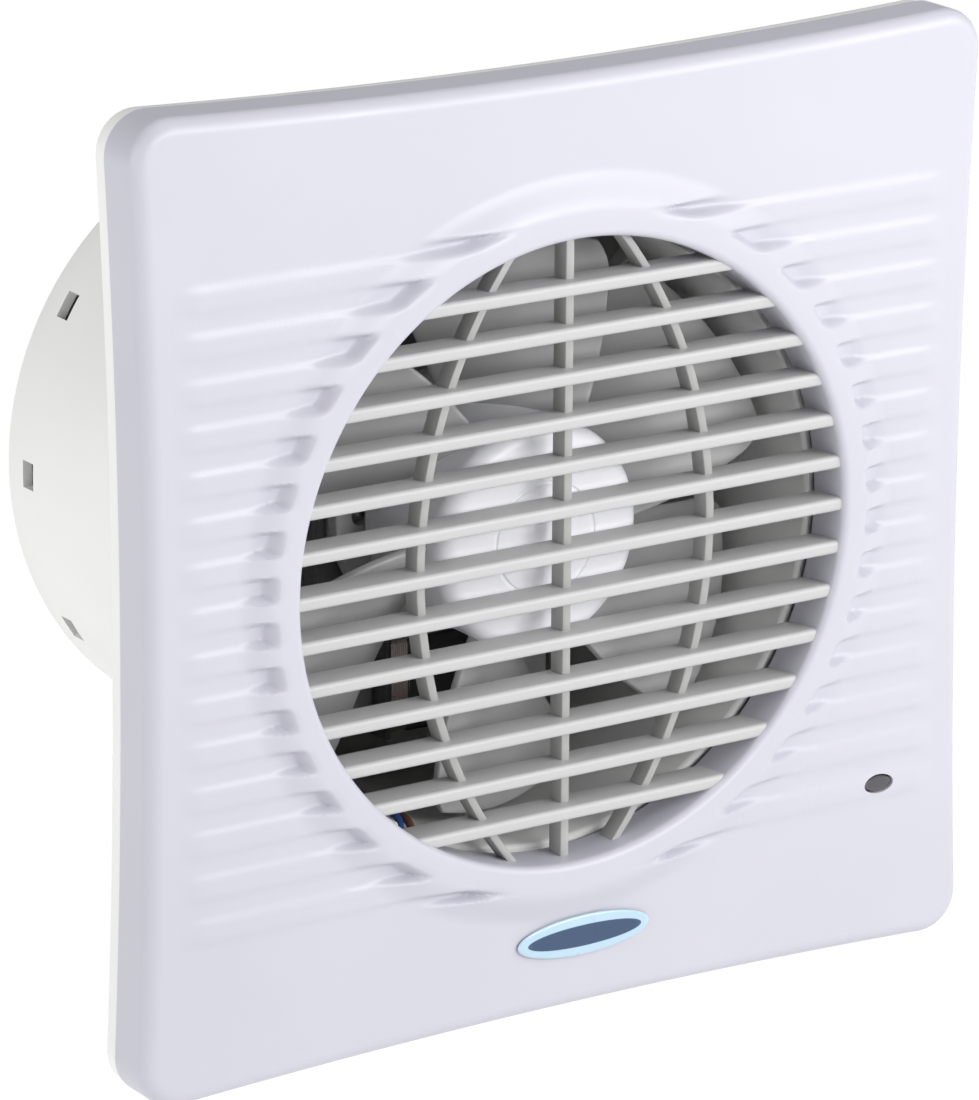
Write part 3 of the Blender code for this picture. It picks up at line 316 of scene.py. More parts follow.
def panel_ring(count):
    """Even steps round the panel's outline, each as a point and its outward normal in x, z."""
    arc_r = (PANEL_HALF**2 + SIDE_BOW**2) / (2 * SIDE_BOW)
    arc_centre = PANEL_HALF - SIDE_BOW + arc_r
    reach = arc_r + CORNER_R
    corner = (arc_centre - math.sqrt(2 * reach**2 - arc_centre**2)) / 2
    lean = math.atan2(corner, arc_centre - corner)
    fine = []
    for quarter in range(4):
        turn = Matrix.Rotation(quarter * math.pi / 2, 2)
        steps = 400
        for step in range(steps):
            z = corner * step / steps
            across = math.sqrt(arc_r**2 - z**2)
            fine.append((turn @ Vector((arc_centre - across, z)), turn @ Vector((across, -z)) / arc_r))
        for step in range(steps):
            angle = -lean + (math.pi / 2 + 2 * lean) * step / steps
            out = Vector((math.cos(angle), math.sin(angle)))
            fine.append((turn @ (Vector((corner, corner)) + out * CORNER_R), turn @ out))
        for step in range(steps):
            x = corner * (1 - step / steps)
            across = math.sqrt(arc_r**2 - x**2)
            fine.append((turn @ Vector((x, arc_centre - across)), turn @ Vector((-x, across)) / arc_r))
    lengths = [0.0]
    for (a, _), (b, _) in zip(fine, fine[1:] + fine[:1]):
        lengths.append(lengths[-1] + (b - a).length)
    ring, at = [], 0
    for number in range(count):
        wanted = lengths[-1] * number / count
        while lengths[at + 1] < wanted:
            at += 1
        part = (wanted - lengths[at]) / max(lengths[at + 1] - lengths[at], 1e-12)
        a, b = fine[at], fine[(at + 1) % len(fine)]
        ring.append((a[0].lerp(b[0], part), a[1].lerp(b[1], part).normalized()))
    return ring


def loft_shell(name, path, columns, relief_at=None):
    """A skin round the duct's axis. Each row of path is (r, inset, part, y, relief): its ring lies
    part of the way from a circle of radius r to the panel's outline moved in by inset."""
    ring = panel_ring(columns)
    rows = len(path)
    bpy.ops.object.select_all(action="DESELECT")
    bpy.ops.mesh.primitive_grid_add(x_subdivisions=columns, y_subdivisions=rows, size=2.0)
    shell = bpy.context.object
    shell.name = name
    for vertex in shell.data.vertices:
        column = round((vertex.co.x + 1) / 2 * columns) % columns
        row = round((vertex.co.y + 1) / 2 * rows) % rows
        r, inset, part, y, relief = path[row]
        spot, normal = ring[column]
        angle = math.tau * column / columns
        outer = spot - normal * inset
        x = r * math.cos(angle) * (1 - part) + outer.x * part
        z = r * math.sin(angle) * (1 - part) + outer.y * part
        vertex.co = (x, y - (relief_at(x, z) if relief else 0.0), z)
    bpy.ops.object.mode_set(mode="EDIT")
    bpy.ops.mesh.select_all(action="SELECT")
    bpy.ops.mesh.remove_doubles(threshold=0.000001)
    bpy.ops.mesh.normals_make_consistent(inside=False)
    bpy.ops.object.mode_set(mode="OBJECT")
    return shell


def pick(piece):
    """Selects one piece alone and makes it the active one."""
    bpy.ops.object.select_all(action="DESELECT")
    piece.select_set(True)
    bpy.context.view_layer.objects.active = piece
    return piece


def bar(name, low, high, round_by=0.0, segments=3):
    """A block between two corners with its edges rounded."""
    low, high = Vector(low), Vector(high)
    bpy.ops.object.select_all(action="DESELECT")
    bpy.ops.mesh.primitive_cube_add(size=1.0, location=(low + high) / 2)
    block = bpy.context.object
    block.name = name
    block.scale = high - low
    bpy.ops.object.transform_apply(location=True, rotation=True, scale=True)
    if round_by:
        bpy.ops.object.mode_set(mode="EDIT")
        bpy.ops.mesh.select_all(action="SELECT")
        bpy.ops.mesh.bevel(offset=round_by, segments=segments, affect="EDGES")
        bpy.ops.object.mode_set(mode="OBJECT")
    return block


def turned(name, profile, at=(0.0, 0.0), steps=64):
    """A ring drawn out along the profile's (radius, y) pairs, about a line along Y through x, z = at.
    A profile that comes back to its start makes a closed ring, and any other gets flat ends."""
    bpy.ops.object.select_all(action="DESELECT")
    bpy.ops.mesh.primitive_circle_add(
        vertices=steps,
        radius=profile[0][0],
        fill_type="NOTHING",
        location=(at[0], profile[0][1], at[1]),
        rotation=(math.pi / 2, 0.0, 0.0),
    )
    piece = bpy.context.object
    piece.name = name
    bpy.ops.object.transform_apply(location=True, rotation=True, scale=True)
    bpy.ops.object.mode_set(mode="EDIT")
    bpy.ops.mesh.select_all(action="SELECT")
    for (old_r, old_y), (new_r, new_y) in zip(profile, profile[1:]):
        bpy.ops.mesh.extrude_region_move(TRANSFORM_OT_translate={"value": (0.0, new_y - old_y, 0.0)})
        grow = new_r / old_r
        bpy.ops.transform.resize(value=(grow, 1.0, grow), center_override=(at[0], new_y, at[1]))
    bpy.ops.mesh.select_all(action="SELECT")
    bpy.ops.mesh.remove_doubles(threshold=0.000002)
    bpy.ops.mesh.fill_holes(sides=0)
    bpy.ops.mesh.normals_make_consistent(inside=False)
    bpy.ops.object.mode_set(mode="OBJECT")
    return piece


def about_duct(piece, degrees):
    """Swings a piece, made at +X, round the duct's axis towards +Z."""
    piece.data.transform(Matrix.Rotation(math.radians(-degrees), 4, "Y"))
    return piece


def copied(piece, name, place=(0.0, 0.0, 0.0)):
    """Another of the same piece, with its own mesh."""
    other = piece.copy()
    other.data = piece.data.copy()
    other.name = name
    other.data.transform(Matrix.Translation(place))
    bpy.context.scene.collection.objects.link(other)
    return other


def gathered(name, pieces):
    """Several pieces of one moulding or one kind as one object."""
    pick(pieces[0])
    for piece in pieces:
        piece.select_set(True)
    bpy.ops.object.join()
    bpy.context.object.name = name
    return bpy.context.object


def carve(piece, *cutters, operation="DIFFERENCE"):
    """Takes the cutters out of the piece, or fuses them with it."""
    for cutter in cutters:
        step = piece.modifiers.new("carve", "BOOLEAN")
        step.operation = operation
        step.object = cutter
        pick(piece)
        bpy.ops.object.modifier_apply(modifier="carve")
        bpy.data.objects.remove(cutter)
    return piece


def settle(piece, material, body, slot, *nodes, smooth_below=38):
    """Gives a finished piece its material and shading, fixes it to the body it rides on and hides the
    frame's pieces it stands for.
    """
    pick(piece)
    bpy.ops.object.transform_apply(location=True, rotation=True, scale=True)
    piece.data.materials.clear()
    piece.data.materials.append(material)
    bpy.ops.object.shade_smooth_by_angle(angle=math.radians(smooth_below))
    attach(piece, body)
    if nodes:
        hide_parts(*nodes)
    return piece


casing_white = moulded_plastic(
    "casing_white", (0.80, 0.80, 0.79), (0.77, 0.77, 0.75), (0.88, 0.88, 0.87), roughness=0.42
)

# From the spigot's root out over the plate's back and edge, over the rim and in over the
# plate's front to the inlet, then down the duct to the spigot's end and back up outside.
plate_path = [
    (SPIGOT_R, 0.0, 0.0, 1.2 * MM, False),
    (SPIGOT_R + 0.1 * MM, 0.0, 0.0, 0.7 * MM, False),
    (SPIGOT_R + 0.35 * MM, 0.0, 0.0, 0.3 * MM, False),
    (SPIGOT_R + 0.9 * MM, 0.0, 0.0, 0.0, False),
]
for step in range(1, 9):
    plate_path.append((SPIGOT_R + 0.9 * MM, 0.8 * MM, step / 8, 0.0, False))
for inset, y in (
    (0.5, -0.12),
    (0.4, -0.4),
    (0.4, -2.6),
    (0.5, -2.88),
    (0.8, -3.0),
    (2.1, -3.0),
    (2.2, -3.1),
    (2.2, -7.1),
    (2.35, -7.4),
    (2.6, -7.5),
    (3.4, -7.5),
    (3.65, -7.4),
    (3.8, -7.1),
    (3.8, -3.4),
    (4.2, -3.0),
):
    plate_path.append((0.0, inset * MM, 1.0, y * MM, False))
for step in range(1, 9):
    plate_path.append((SPIGOT_R + 0.5 * MM, 4.2 * MM, 1 - step / 8, PLATE_FRONT_Y, False))
for r, y in (
    (SPIGOT_R, PLATE_FRONT_Y - 0.5 * MM),
    (SPIGOT_R, INLET_Y + 0.4 * MM),
    (SPIGOT_R - 0.3 * MM, INLET_Y),
    (DUCT_R + 0.5 * MM, INLET_Y),
    (DUCT_R + 0.15 * MM, INLET_Y + 0.3 * MM),
    (DUCT_R, INLET_Y + 0.8 * MM),
    (DUCT_R, 10.0 * MM),
    (DUCT_R, 30.0 * MM),
    (DUCT_R, 50.0 * MM),
    (DUCT_R, LATCH_Y - BESIDE_WINDOW),
    (DUCT_R, LATCH_Y + BESIDE_WINDOW),
    (DUCT_R, SPIGOT_END_Y - 0.3 * MM),
    (DUCT_R + 0.3 * MM, SPIGOT_END_Y),
    (SPIGOT_R - 0.8 * MM, SPIGOT_END_Y),
    (SPIGOT_R - 0.2 * MM, SPIGOT_END_Y - 0.5 * MM),
    (SPIGOT_R, SPIGOT_END_Y - 1.2 * MM),
    (SPIGOT_R, LATCH_Y + BESIDE_WINDOW),
    (SPIGOT_R, LATCH_Y - BESIDE_WINDOW),
    (SPIGOT_R, 50.0 * MM),
    (SPIGOT_R, 30.0 * MM),
    (SPIGOT_R, 10.0 * MM),
):
    plate_path.append((r, 0.0, 0.0, y, False))
casing = loft_shell("casing_moulding", plate_path, columns=480)



def hole_cutter(radius, place, steps):
    """A cutter for a round hole through the plate and what stands on it."""
    return turned("hole", [(radius, HOLE_FRONT_Y), (radius, 2 * THROUGH)], at=place, steps=steps)


casing_holes = []
for x in (-WALL_SCREW_AT, WALL_SCREW_AT):
    for z in (-WALL_SCREW_AT, WALL_SCREW_AT):
        casing_holes.append(hole_cutter(WALL_HOLE_R, (x, z), 32))
casing_holes.append(hole_cutter(CABLE_HOLE_R, CABLE_AT, 48))
for quarter in range(4):
    slot_half_x, slot_half_z = CLIP_THICK / 2 + 0.5 * MM, CLIP_WIDTH / 2 + 0.6 * MM
    clip_slot = bar(
        "slot",
        (CLIP_AT - slot_half_x, PLATE_FRONT_Y - THROUGH, -slot_half_z),
        (CLIP_AT + slot_half_x, THROUGH, slot_half_z),
    )
    casing_holes.append(about_duct(clip_slot, 90 * quarter))
lead_notch = bar(
    "notch",
    (DUCT_R - THROUGH, HOLE_FRONT_Y, -NOTCH_HALF),
    (SPIGOT_R + 2 * THROUGH, -0.4 * MM, NOTCH_HALF),
)
casing_holes.append(about_duct(lead_notch, LEAD_ANGLE))
for angle in LATCH_ANGLES:
    window = bar(
        "window",
        (DUCT_R - THROUGH, LATCH_Y - WINDOW_HALF_Y, -WINDOW_HALF_WIDTH),
        (SPIGOT_R + THROUGH, LATCH_Y + WINDOW_HALF_Y, WINDOW_HALF_WIDTH),
    )
    casing_holes.append(about_duct(window, angle))
carve(casing, gathered("casing_holes", casing_holes))

casing_parts = [casing]
for x in (-WALL_SCREW_AT, WALL_SCREW_AT):
    for z in (-WALL_SCREW_AT, WALL_SCREW_AT):
        boss = [(2.3, -2.6), (4.2, -2.6), (4.2, -4.1), (3.95, -4.4), (2.6, -4.4), (2.3, -4.1), (2.3, -2.6)]
        casing_parts.append(turned("boss", [(r * MM, y * MM) for r, y in boss], at=(x, z), steps=40))
for place in BOARD_SCREWS:
    board_post = [(1.25, -2.6), (2.4, -2.6), (2.4, -4.15), (2.25, -4.3), (1.25, -4.3), (1.25, -2.6)]
    casing_parts.append(turned("board_post", [(r * MM, y * MM) for r, y in board_post], at=place, steps=32))
casing_parts.append(
    turned(
        "carrier_disc",
        [
            (CARRIER_R - 0.3 * MM, CARRIER_BACK_Y),
            (CARRIER_R, CARRIER_BACK_Y - 0.3 * MM),
            (CARRIER_R, CARRIER_Y + 0.3 * MM),
            (CARRIER_R - 0.3 * MM, CARRIER_Y),
            (7.6 * MM, CARRIER_Y),
            (7.3 * MM, CARRIER_Y + 0.3 * MM),
            (7.3 * MM, CARRIER_BACK_Y - 0.3 * MM),
            (7.6 * MM, CARRIER_BACK_Y),
            (CARRIER_R - 0.3 * MM, CARRIER_BACK_Y),
        ],
    )
)
for side in (-1, 1):
    screw_hole = turned(
        "hole",
        [(MOTOR_HOLE_R, CARRIER_Y - THROUGH), (MOTOR_HOLE_R, CARRIER_BACK_Y + THROUGH)],
        at=(side * MOTOR_SCREW_X, 0.0),
        steps=24,
    )
    carve(casing_parts[-1], screw_hole)
for number in range(4):
    arm = bar(
        "carrier_arm",
        (CARRIER_R - 0.8 * MM, CARRIER_Y, -ARM_HALF),
        (DUCT_R + 0.6 * MM, CARRIER_BACK_Y + 1.0 * MM, ARM_HALF),
        round_by=0.4 * MM,
    )
    casing_parts.append(about_duct(arm, 45 + 90 * number))
settle(gathered("casing_moulding", casing_parts), casing_white, "casing", "white_casing", "fan_casing")

# ---------------------------------------------------------------------------
# Stator: twenty-eight stamped sheets of dark electrical steel, stacked and held
# between the bearing brackets. The rotor's bore and the coil's window go through.
# ---------------------------------------------------------------------------

STACK_Y = 26.5 * MM
STACK_BACK_Y = 40.5 * MM
STACK_HALF = 21.0 * MM
STACK_TOP = 17.5 * MM
LIMB_TOP = -25.0 * MM
LIMB_BOTTOM = -33.5 * MM
LEG_WIDTH = 9.0 * MM
ROTOR_R = 12.0 * MM
AIR_GAP = 0.5 * MM
SHEETS = 28
STEEL_SHARE = 0.86


def build_worn_metal():
    """Fine streaks, dull stains and rubbed edges, for every metal piece."""
    group, given, out = new_group(
        "worn_metal",
        [
            ("Colour", "NodeSocketColor", (0.6, 0.6, 0.6, 1.0)),
            ("Stain Colour", "NodeSocketColor", (0.4, 0.4, 0.4, 1.0)),
            ("Roughness", "NodeSocketFloat", 0.35),
            ("Streak Scale", "NodeSocketFloat", 900.0),
        ],
        [
            ("Colour", "NodeSocketColor"),
            ("Roughness", "NodeSocketFloat"),
            ("Height", "NodeSocketFloat"),
        ],
    )
    place = group.nodes.new("ShaderNodeTexCoord").outputs["Object"]
    drawn = group.nodes.new("ShaderNodeMapping")
    drawn.inputs["Scale"].default_value = (1.0, 0.15, 1.0)
    group.links.new(place, drawn.inputs["Vector"])
    streak = group.nodes.new("ShaderNodeTexNoise")
    streak.inputs["Detail"].default_value = 3.0
    group.links.new(drawn.outputs["Vector"], streak.inputs["Vector"])
    group.links.new(given.outputs["Streak Scale"], streak.inputs["Scale"])
    stain = add_range(group, add_noise(group, place, scale=220.0, detail=5.0), 0.42, 0.68, 0.0, 1.0)
    tone = add_mix(group, stain, given.outputs["Colour"], given.outputs["Stain Colour"])
    edge = group.nodes.new("ShaderNodeNewGeometry").outputs["Pointiness"]
    rubbed = add_range(group, edge, 0.53, 0.62, 0.0, 0.6)
    tone = add_mix(group, rubbed, tone, (0.80, 0.80, 0.80, 1.0))
    group.links.new(tone, out.inputs["Colour"])
    dull = add_range(group, streak.outputs["Fac"], 0.3, 0.7, -0.08, 0.12)
    group.links.new(add_math(group, "ADD", given.outputs["Roughness"], dull), out.inputs["Roughness"])
    group.links.new(streak.outputs["Fac"], out.inputs["Height"])
    return group


worn_metal = build_worn_metal()


def bare_metal(name, colour, stain, roughness, streak_scale=900.0, depth=0.015):
    """A metal: the shared wear around one Principled shader."""
    material = bpy.data.materials.new(name)
    material.use_nodes = True
    tree = material.node_tree
    shader = tree.nodes["Principled BSDF"]
    wear = tree.nodes.new("ShaderNodeGroup")
    wear.node_tree = worn_metal
    wear.inputs["Colour"].default_value = (*colour, 1.0)
    wear.inputs["Stain Colour"].default_value = (*stain, 1.0)
    wear.inputs["Roughness"].default_value = roughness
    wear.inputs["Streak Scale"].default_value = streak_scale
    bump = tree.nodes.new("ShaderNodeBump")
    bump.inputs["Strength"].default_value = 0.3
    bump.inputs["Distance"].default_value = depth * MM
    tree.links.new(wear.outputs["Colour"], shader.inputs["Base Color"])
    tree.links.new(wear.outputs["Roughness"], shader.inputs["Roughness"])
    tree.links.new(wear.outputs["Height"], bump.inputs["Height"])
    tree.links.new(bump.outputs["Normal"], shader.inputs["Normal"])
    shader.inputs["Metallic"].default_value = 1.0
    return material


def drilled(radius, x, low_y, high_y):
    """A cutter for a hole along Y beside the duct's axis."""
    return turned("drill", [(radius, low_y), (radius, high_y)], at=(x, 0.0), steps=32)


sheet_steel = bare_metal("sheet_steel", (0.17, 0.17, 0.18), (0.10, 0.09, 0.09), roughness=0.5)
sheet_pitch = (STACK_BACK_Y - STACK_Y) / SHEETS
lamination = bar(
    "lamination",
    (-STACK_HALF, STACK_Y, LIMB_BOTTOM),
    (STACK_HALF, STACK_Y + STEEL_SHARE * sheet_pitch, STACK_TOP),
    round_by=0.03 * MM,
    segments=1,
)
coil_window = bar(
    "window",
    (-STACK_HALF + LEG_WIDTH, STACK_Y - THROUGH, LIMB_TOP),
    (STACK_HALF - LEG_WIDTH, STACK_Y + THROUGH, -STACK_TOP),
)
carve(
    lamination,
    coil_window,
    turned("drill", [(ROTOR_R + AIR_GAP, STACK_Y - THROUGH), (ROTOR_R + AIR_GAP, STACK_Y + THROUGH)]),
    drilled(MOTOR_HOLE_R, -MOTOR_SCREW_X, STACK_Y - THROUGH, STACK_Y + THROUGH),
    drilled(MOTOR_HOLE_R, MOTOR_SCREW_X, STACK_Y - THROUGH, STACK_Y + THROUGH),
)
sheets = [copied(lamination, "sheet", (0.0, number * sheet_pitch, 0.0)) for number in range(1, SHEETS)]
stack = gathered("stator_sheets", [lamination, *sheets])
settle(stack, sheet_steel, "casing", "lamination_steel", "stator_stack", smooth_below=20)

# ---------------------------------------------------------------------------
# Coil: enamelled copper wire wound round a black nylon bobbin, which sits on the
# stator's lower limb. Dark cloth tape covers all but the outermost turns; the tape
# and its near-black stand in as painted shade deep in the duct.
# ---------------------------------------------------------------------------

COIL_HALF_X = 11.4 * MM
BOBBIN_WALL = 1.0 * MM
LIMB_CLEAR = 0.3 * MM
WIRE_R = 0.19 * MM
COIL_CORNER_R = 2.2 * MM
FLANGE_OUT = 4.0 * MM
LAYERS_OUT = 3.35 * MM
TURNS_OUT = 3.4 * MM
TAPE_OUT = 3.72 * MM
TAPE_IN = 3.2 * MM

nylon_black = moulded_plastic(
    "nylon_black", (0.022, 0.022, 0.024), (0.03, 0.03, 0.033), (0.08, 0.08, 0.085), roughness=0.5
)
limb_mid_y = (STACK_Y + STACK_BACK_Y) / 2
limb_mid_z = (LIMB_TOP + LIMB_BOTTOM) / 2
limb_half_y = (STACK_BACK_Y - STACK_Y) / 2 + LIMB_CLEAR
limb_half_z = (LIMB_TOP - LIMB_BOTTOM) / 2 + LIMB_CLEAR


def round_limb(name, x_from, x_to, grow, round_by):
    """A block along X that stands out by grow all round the stator's limb."""
    return bar(
        name,
        (x_from, limb_mid_y - limb_half_y - grow, limb_mid_z - limb_half_z - grow),
        (x_to, limb_mid_y + limb_half_y + grow, limb_mid_z + limb_half_z + grow),
        round_by=round_by,
    )


bobbin = gathered(
    "coil_former",
    [
        carve(
            round_limb("core", -COIL_HALF_X + 0.5 * MM, COIL_HALF_X - 0.5 * MM, BOBBIN_WALL, 0.1 * MM),
            round_limb("limb", -COIL_HALF_X - THROUGH, COIL_HALF_X + THROUGH, grow=0.0, round_by=0.0),
        ),
        carve(
            round_limb("flange", -COIL_HALF_X, -COIL_HALF_X + BOBBIN_WALL, FLANGE_OUT, 0.35 * MM),
            round_limb("limb", -COIL_HALF_X - THROUGH, -COIL_HALF_X + 2 * THROUGH, grow=0.0, round_by=0.0),
        ),
        carve(
            round_limb("flange", COIL_HALF_X - BOBBIN_WALL, COIL_HALF_X, FLANGE_OUT, 0.35 * MM),
            round_limb("limb", COIL_HALF_X - 2 * THROUGH, COIL_HALF_X + THROUGH, grow=0.0, round_by=0.0),
        ),
    ],
)
settle(bobbin, nylon_black, "casing", "black_plastic", "coil_bobbin")

enamelled_copper = bare_metal(
    "enamelled_copper", (0.22, 0.085, 0.04), (0.14, 0.05, 0.025), roughness=0.34, streak_scale=1500.0
)
coil_reach = COIL_HALF_X - BOBBIN_WALL - 0.3 * MM
bpy.ops.object.select_all(action="DESELECT")
bpy.ops.mesh.primitive_torus_add(
    major_segments=24,
    minor_segments=6,
    major_radius=COIL_CORNER_R,
    minor_radius=WIRE_R,
    location=(0.0, 0.0, 0.0),
    rotation=(0.0, math.pi / 2, 0.0),
)
turn = bpy.context.object
bpy.ops.object.transform_apply(location=True, rotation=True, scale=True)
straight_y = limb_half_y + TURNS_OUT - COIL_CORNER_R
straight_z = limb_half_z + TURNS_OUT - COIL_CORNER_R
for vertex in turn.data.vertices:
    side_y = 0.0 if abs(vertex.co.y) < 0.01 * MM else math.copysign(1.0, vertex.co.y)
    side_z = 0.0 if abs(vertex.co.z) < 0.01 * MM else math.copysign(1.0, vertex.co.z)
    vertex.co.y += limb_mid_y + side_y * straight_y
    vertex.co.z += limb_mid_z + side_z * straight_z
turns = int(2 * coil_reach / (2 * WIRE_R))
layers = round_limb("inner_layers", -coil_reach, coil_reach, LAYERS_OUT, COIL_CORNER_R - 0.2 * MM)
core = round_limb("core", -COIL_HALF_X, COIL_HALF_X, BOBBIN_WALL + 0.3 * MM, round_by=0.0)
wound = [carve(layers, core)]
for number in range(turns):
    wound.append(copied(turn, "turn", (-coil_reach + (2 * number + 1) * WIRE_R, 0.0, 0.0)))
bpy.data.objects.remove(turn)
settle(gathered("coil_turns", wound), enamelled_copper, "casing", "copper_winding", "coil_winding")

# The tape's near-black hides the copper as painted shade deep in the duct.
tape_dark_shade = moulded_plastic(
    "tape_dark_shade",
    (0.03, 0.03, 0.032),
    (0.045, 0.045, 0.047),
    (0.09, 0.09, 0.09),
    roughness=0.75,
    grain_depth=0.06,
)
tape_reach = coil_reach - 1.6 * MM
tape = round_limb("coil_tape", -tape_reach, tape_reach, TAPE_OUT, COIL_CORNER_R)
tape_inside = round_limb("inside", -COIL_HALF_X, COIL_HALF_X, TAPE_IN, round_by=0.0)
settle(carve(tape, tape_inside), tape_dark_shade, "casing", "copper_winding", "coil_winding")

# ---------------------------------------------------------------------------
# Bearings: a pressed zinc-plated bracket across each end of the stator, with a
# drawn cup in its middle that holds a sintered bronze bush.
# ---------------------------------------------------------------------------

CUP_R = 7.0 * MM
CUP_DEPTH = 4.6 * MM
BRACKET_DEPTH = 1.2 * MM
BRACKET_HALF = 5.0 * MM
BUSH_R = 4.6 * MM
SHAFT_HOLE_R = 2.3 * MM

zinc_plate = bare_metal("zinc_plate", (0.60, 0.61, 0.63), (0.48, 0.47, 0.44), roughness=0.32)
sintered = bare_metal(
    "sintered_bronze_skin",
    (0.48, 0.33, 0.16),
    (0.33, 0.22, 0.11),
    roughness=0.55,
    streak_scale=2600.0,
    depth=0.04,
)
for end, stack_y, way in (("front", STACK_Y, -1), ("rear", STACK_BACK_Y, 1)):
    near = stack_y + way * 0.3 * MM
    far = near + way * BRACKET_DEPTH
    tip = near + way * CUP_DEPTH
    strip = bar(
        "strip",
        (-STACK_HALF + 1.0 * MM, min(near, far), -BRACKET_HALF),
        (STACK_HALF - 1.0 * MM, max(near, far), BRACKET_HALF),
        round_by=0.3 * MM,
    )
    low_y, high_y = near - 3 * THROUGH, near + 3 * THROUGH
    drills = [
        turned("drill", [(CUP_R - 0.8 * MM, low_y), (CUP_R - 0.8 * MM, high_y)], steps=48),
        drilled(MOTOR_HOLE_R, -MOTOR_SCREW_X, low_y, high_y),
        drilled(MOTOR_HOLE_R, MOTOR_SCREW_X, low_y, high_y),
    ]
    carve(strip, *drills)
    cup = turned(
        "cup",
        [
            (BUSH_R + 0.3 * MM, near),
            (CUP_R, near),
            (CUP_R, far),
            (CUP_R - 0.15 * MM, far + way * 0.4 * MM),
            (CUP_R - 0.3 * MM, tip - way * 0.8 * MM),
            (CUP_R - 1.0 * MM, tip),
            (BUSH_R + 0.5 * MM, tip),
            (BUSH_R + 0.3 * MM, tip - way * 0.2 * MM),
            (BUSH_R + 0.3 * MM, near),
        ],
        steps=48,
    )
    bracket = gathered(f"{end}_bearing_bracket", [strip, cup])
    settle(bracket, zinc_plate, "casing", "zinc_steel", f"{end}_bracket")
    bush_near, bush_far = near + way * 0.2 * MM, tip - way * 0.2 * MM
    bush = turned(
        f"{end}_oiled_bush",
        [
            (SHAFT_HOLE_R, bush_near + way * 0.2 * MM),
            (SHAFT_HOLE_R + 0.2 * MM, bush_near),
            (BUSH_R - 0.3 * MM, bush_near),
            (BUSH_R, bush_near + way * 0.3 * MM),
            (BUSH_R, bush_far - way * 0.3 * MM),
            (BUSH_R - 0.3 * MM, bush_far),
            (SHAFT_HOLE_R + 0.3 * MM, bush_far),
            (SHAFT_HOLE_R, bush_far - way * 0.3 * MM),
            (SHAFT_HOLE_R, bush_near + way * 0.2 * MM),
        ],
        steps=48,
    )
    settle(bush, sintered, "casing", "sintered_bronze", f"{end}_bush")

# ---------------------------------------------------------------------------
# Motor screws: two long zinc-plated machine screws through both brackets and the
# stack into the carrier, with domed heads and a cross recess at the back.
# ---------------------------------------------------------------------------


def pan_screw(head_r, head_depth, shank_r, length, thread_pitch):
    """A domed screw that looks towards -Y, with its head's seat at the origin."""
    profile = [(0.35 * shank_r, length), (0.8 * shank_r, length - 0.6 * shank_r)]
    y = length - 0.9 * shank_r
    while y > thread_pitch:
        profile.append((shank_r, y))
        profile.append((0.84 * shank_r, y - thread_pitch / 2))
        y -= thread_pitch
    profile.append((shank_r, 0.0))
    for r, depth in (
        (0.94, 0.0), (1.0, 0.08), (1.0, 0.3), (0.93, 0.6), (0.75, 0.85), (0.5, 0.97), (0.2, 1.0)
    ):
        profile.append((r * head_r, -depth * head_depth))
    screw = turned("screw", profile, steps=32)
    deep, half = 0.55 * head_depth, 0.13 * head_r
    for long_x, long_z in ((0.62 * head_r, half), (half, 0.62 * head_r)):
        recess = bar("recess", (-long_x, -head_depth - MM, -long_z), (long_x, -head_depth + deep, long_z))
        carve(screw, recess)
    return screw


def placed_screws(name, pattern, places, seat_y, turn_back=False):
    """Copies of a screw at (x, z) places, with their heads' seats at seat_y, as one object."""
    screws = []
    for x, z in places:
        screw = copied(pattern, "screw")
        if turn_back:
            screw.data.transform(Matrix.Rotation(math.pi, 4, "Z"))
        screw.data.transform(Matrix.Translation((x, seat_y, z)))
        screws.append(screw)
    bpy.data.objects.remove(pattern)
    return gathered(name, screws)


motor_seat_y = STACK_BACK_Y + BRACKET_DEPTH + 0.6 * MM
motor_screw = pan_screw(
    head_r=3.0 * MM,
    head_depth=2.2 * MM,
    shank_r=1.4 * MM,
    length=motor_seat_y - CARRIER_Y,
    thread_pitch=0.9 * MM,
)
motor_screws = placed_screws(
    "motor_screws", motor_screw, [(-MOTOR_SCREW_X, 0.0), (MOTOR_SCREW_X, 0.0)], motor_seat_y, turn_back=True
)
settle(motor_screws, zinc_plate, "casing", "zinc_steel", "motor_screw_left", "motor_screw_right")

# ---------------------------------------------------------------------------
# Shaft and rotor: a ground steel shaft with chamfered ends, and a cast aluminium
# squirrel cage with skewed bars between two end rings.
# ---------------------------------------------------------------------------

SHAFT_R = 2.0 * MM
SHAFT_FRONT_Y = 1.5 * MM
SHAFT_BACK_Y = 46.5 * MM
ROTOR_BARS = 15
ROTOR_SKEW = 18.0

ground_steel = bare_metal(
    "ground_steel", (0.68, 0.68, 0.70), (0.58, 0.57, 0.56), roughness=0.2, streak_scale=2200.0
)
shaft = turned(
    "ground_shaft",
    [
        (SHAFT_R - 0.4 * MM, SHAFT_FRONT_Y),
        (SHAFT_R, SHAFT_FRONT_Y + 0.4 * MM),
        (SHAFT_R, SHAFT_BACK_Y - 0.4 * MM),
        (SHAFT_R - 0.4 * MM, SHAFT_BACK_Y),
    ],
    steps=48,
)
settle(shaft, ground_steel, "impeller_set", "zinc_steel", "motor_shaft")

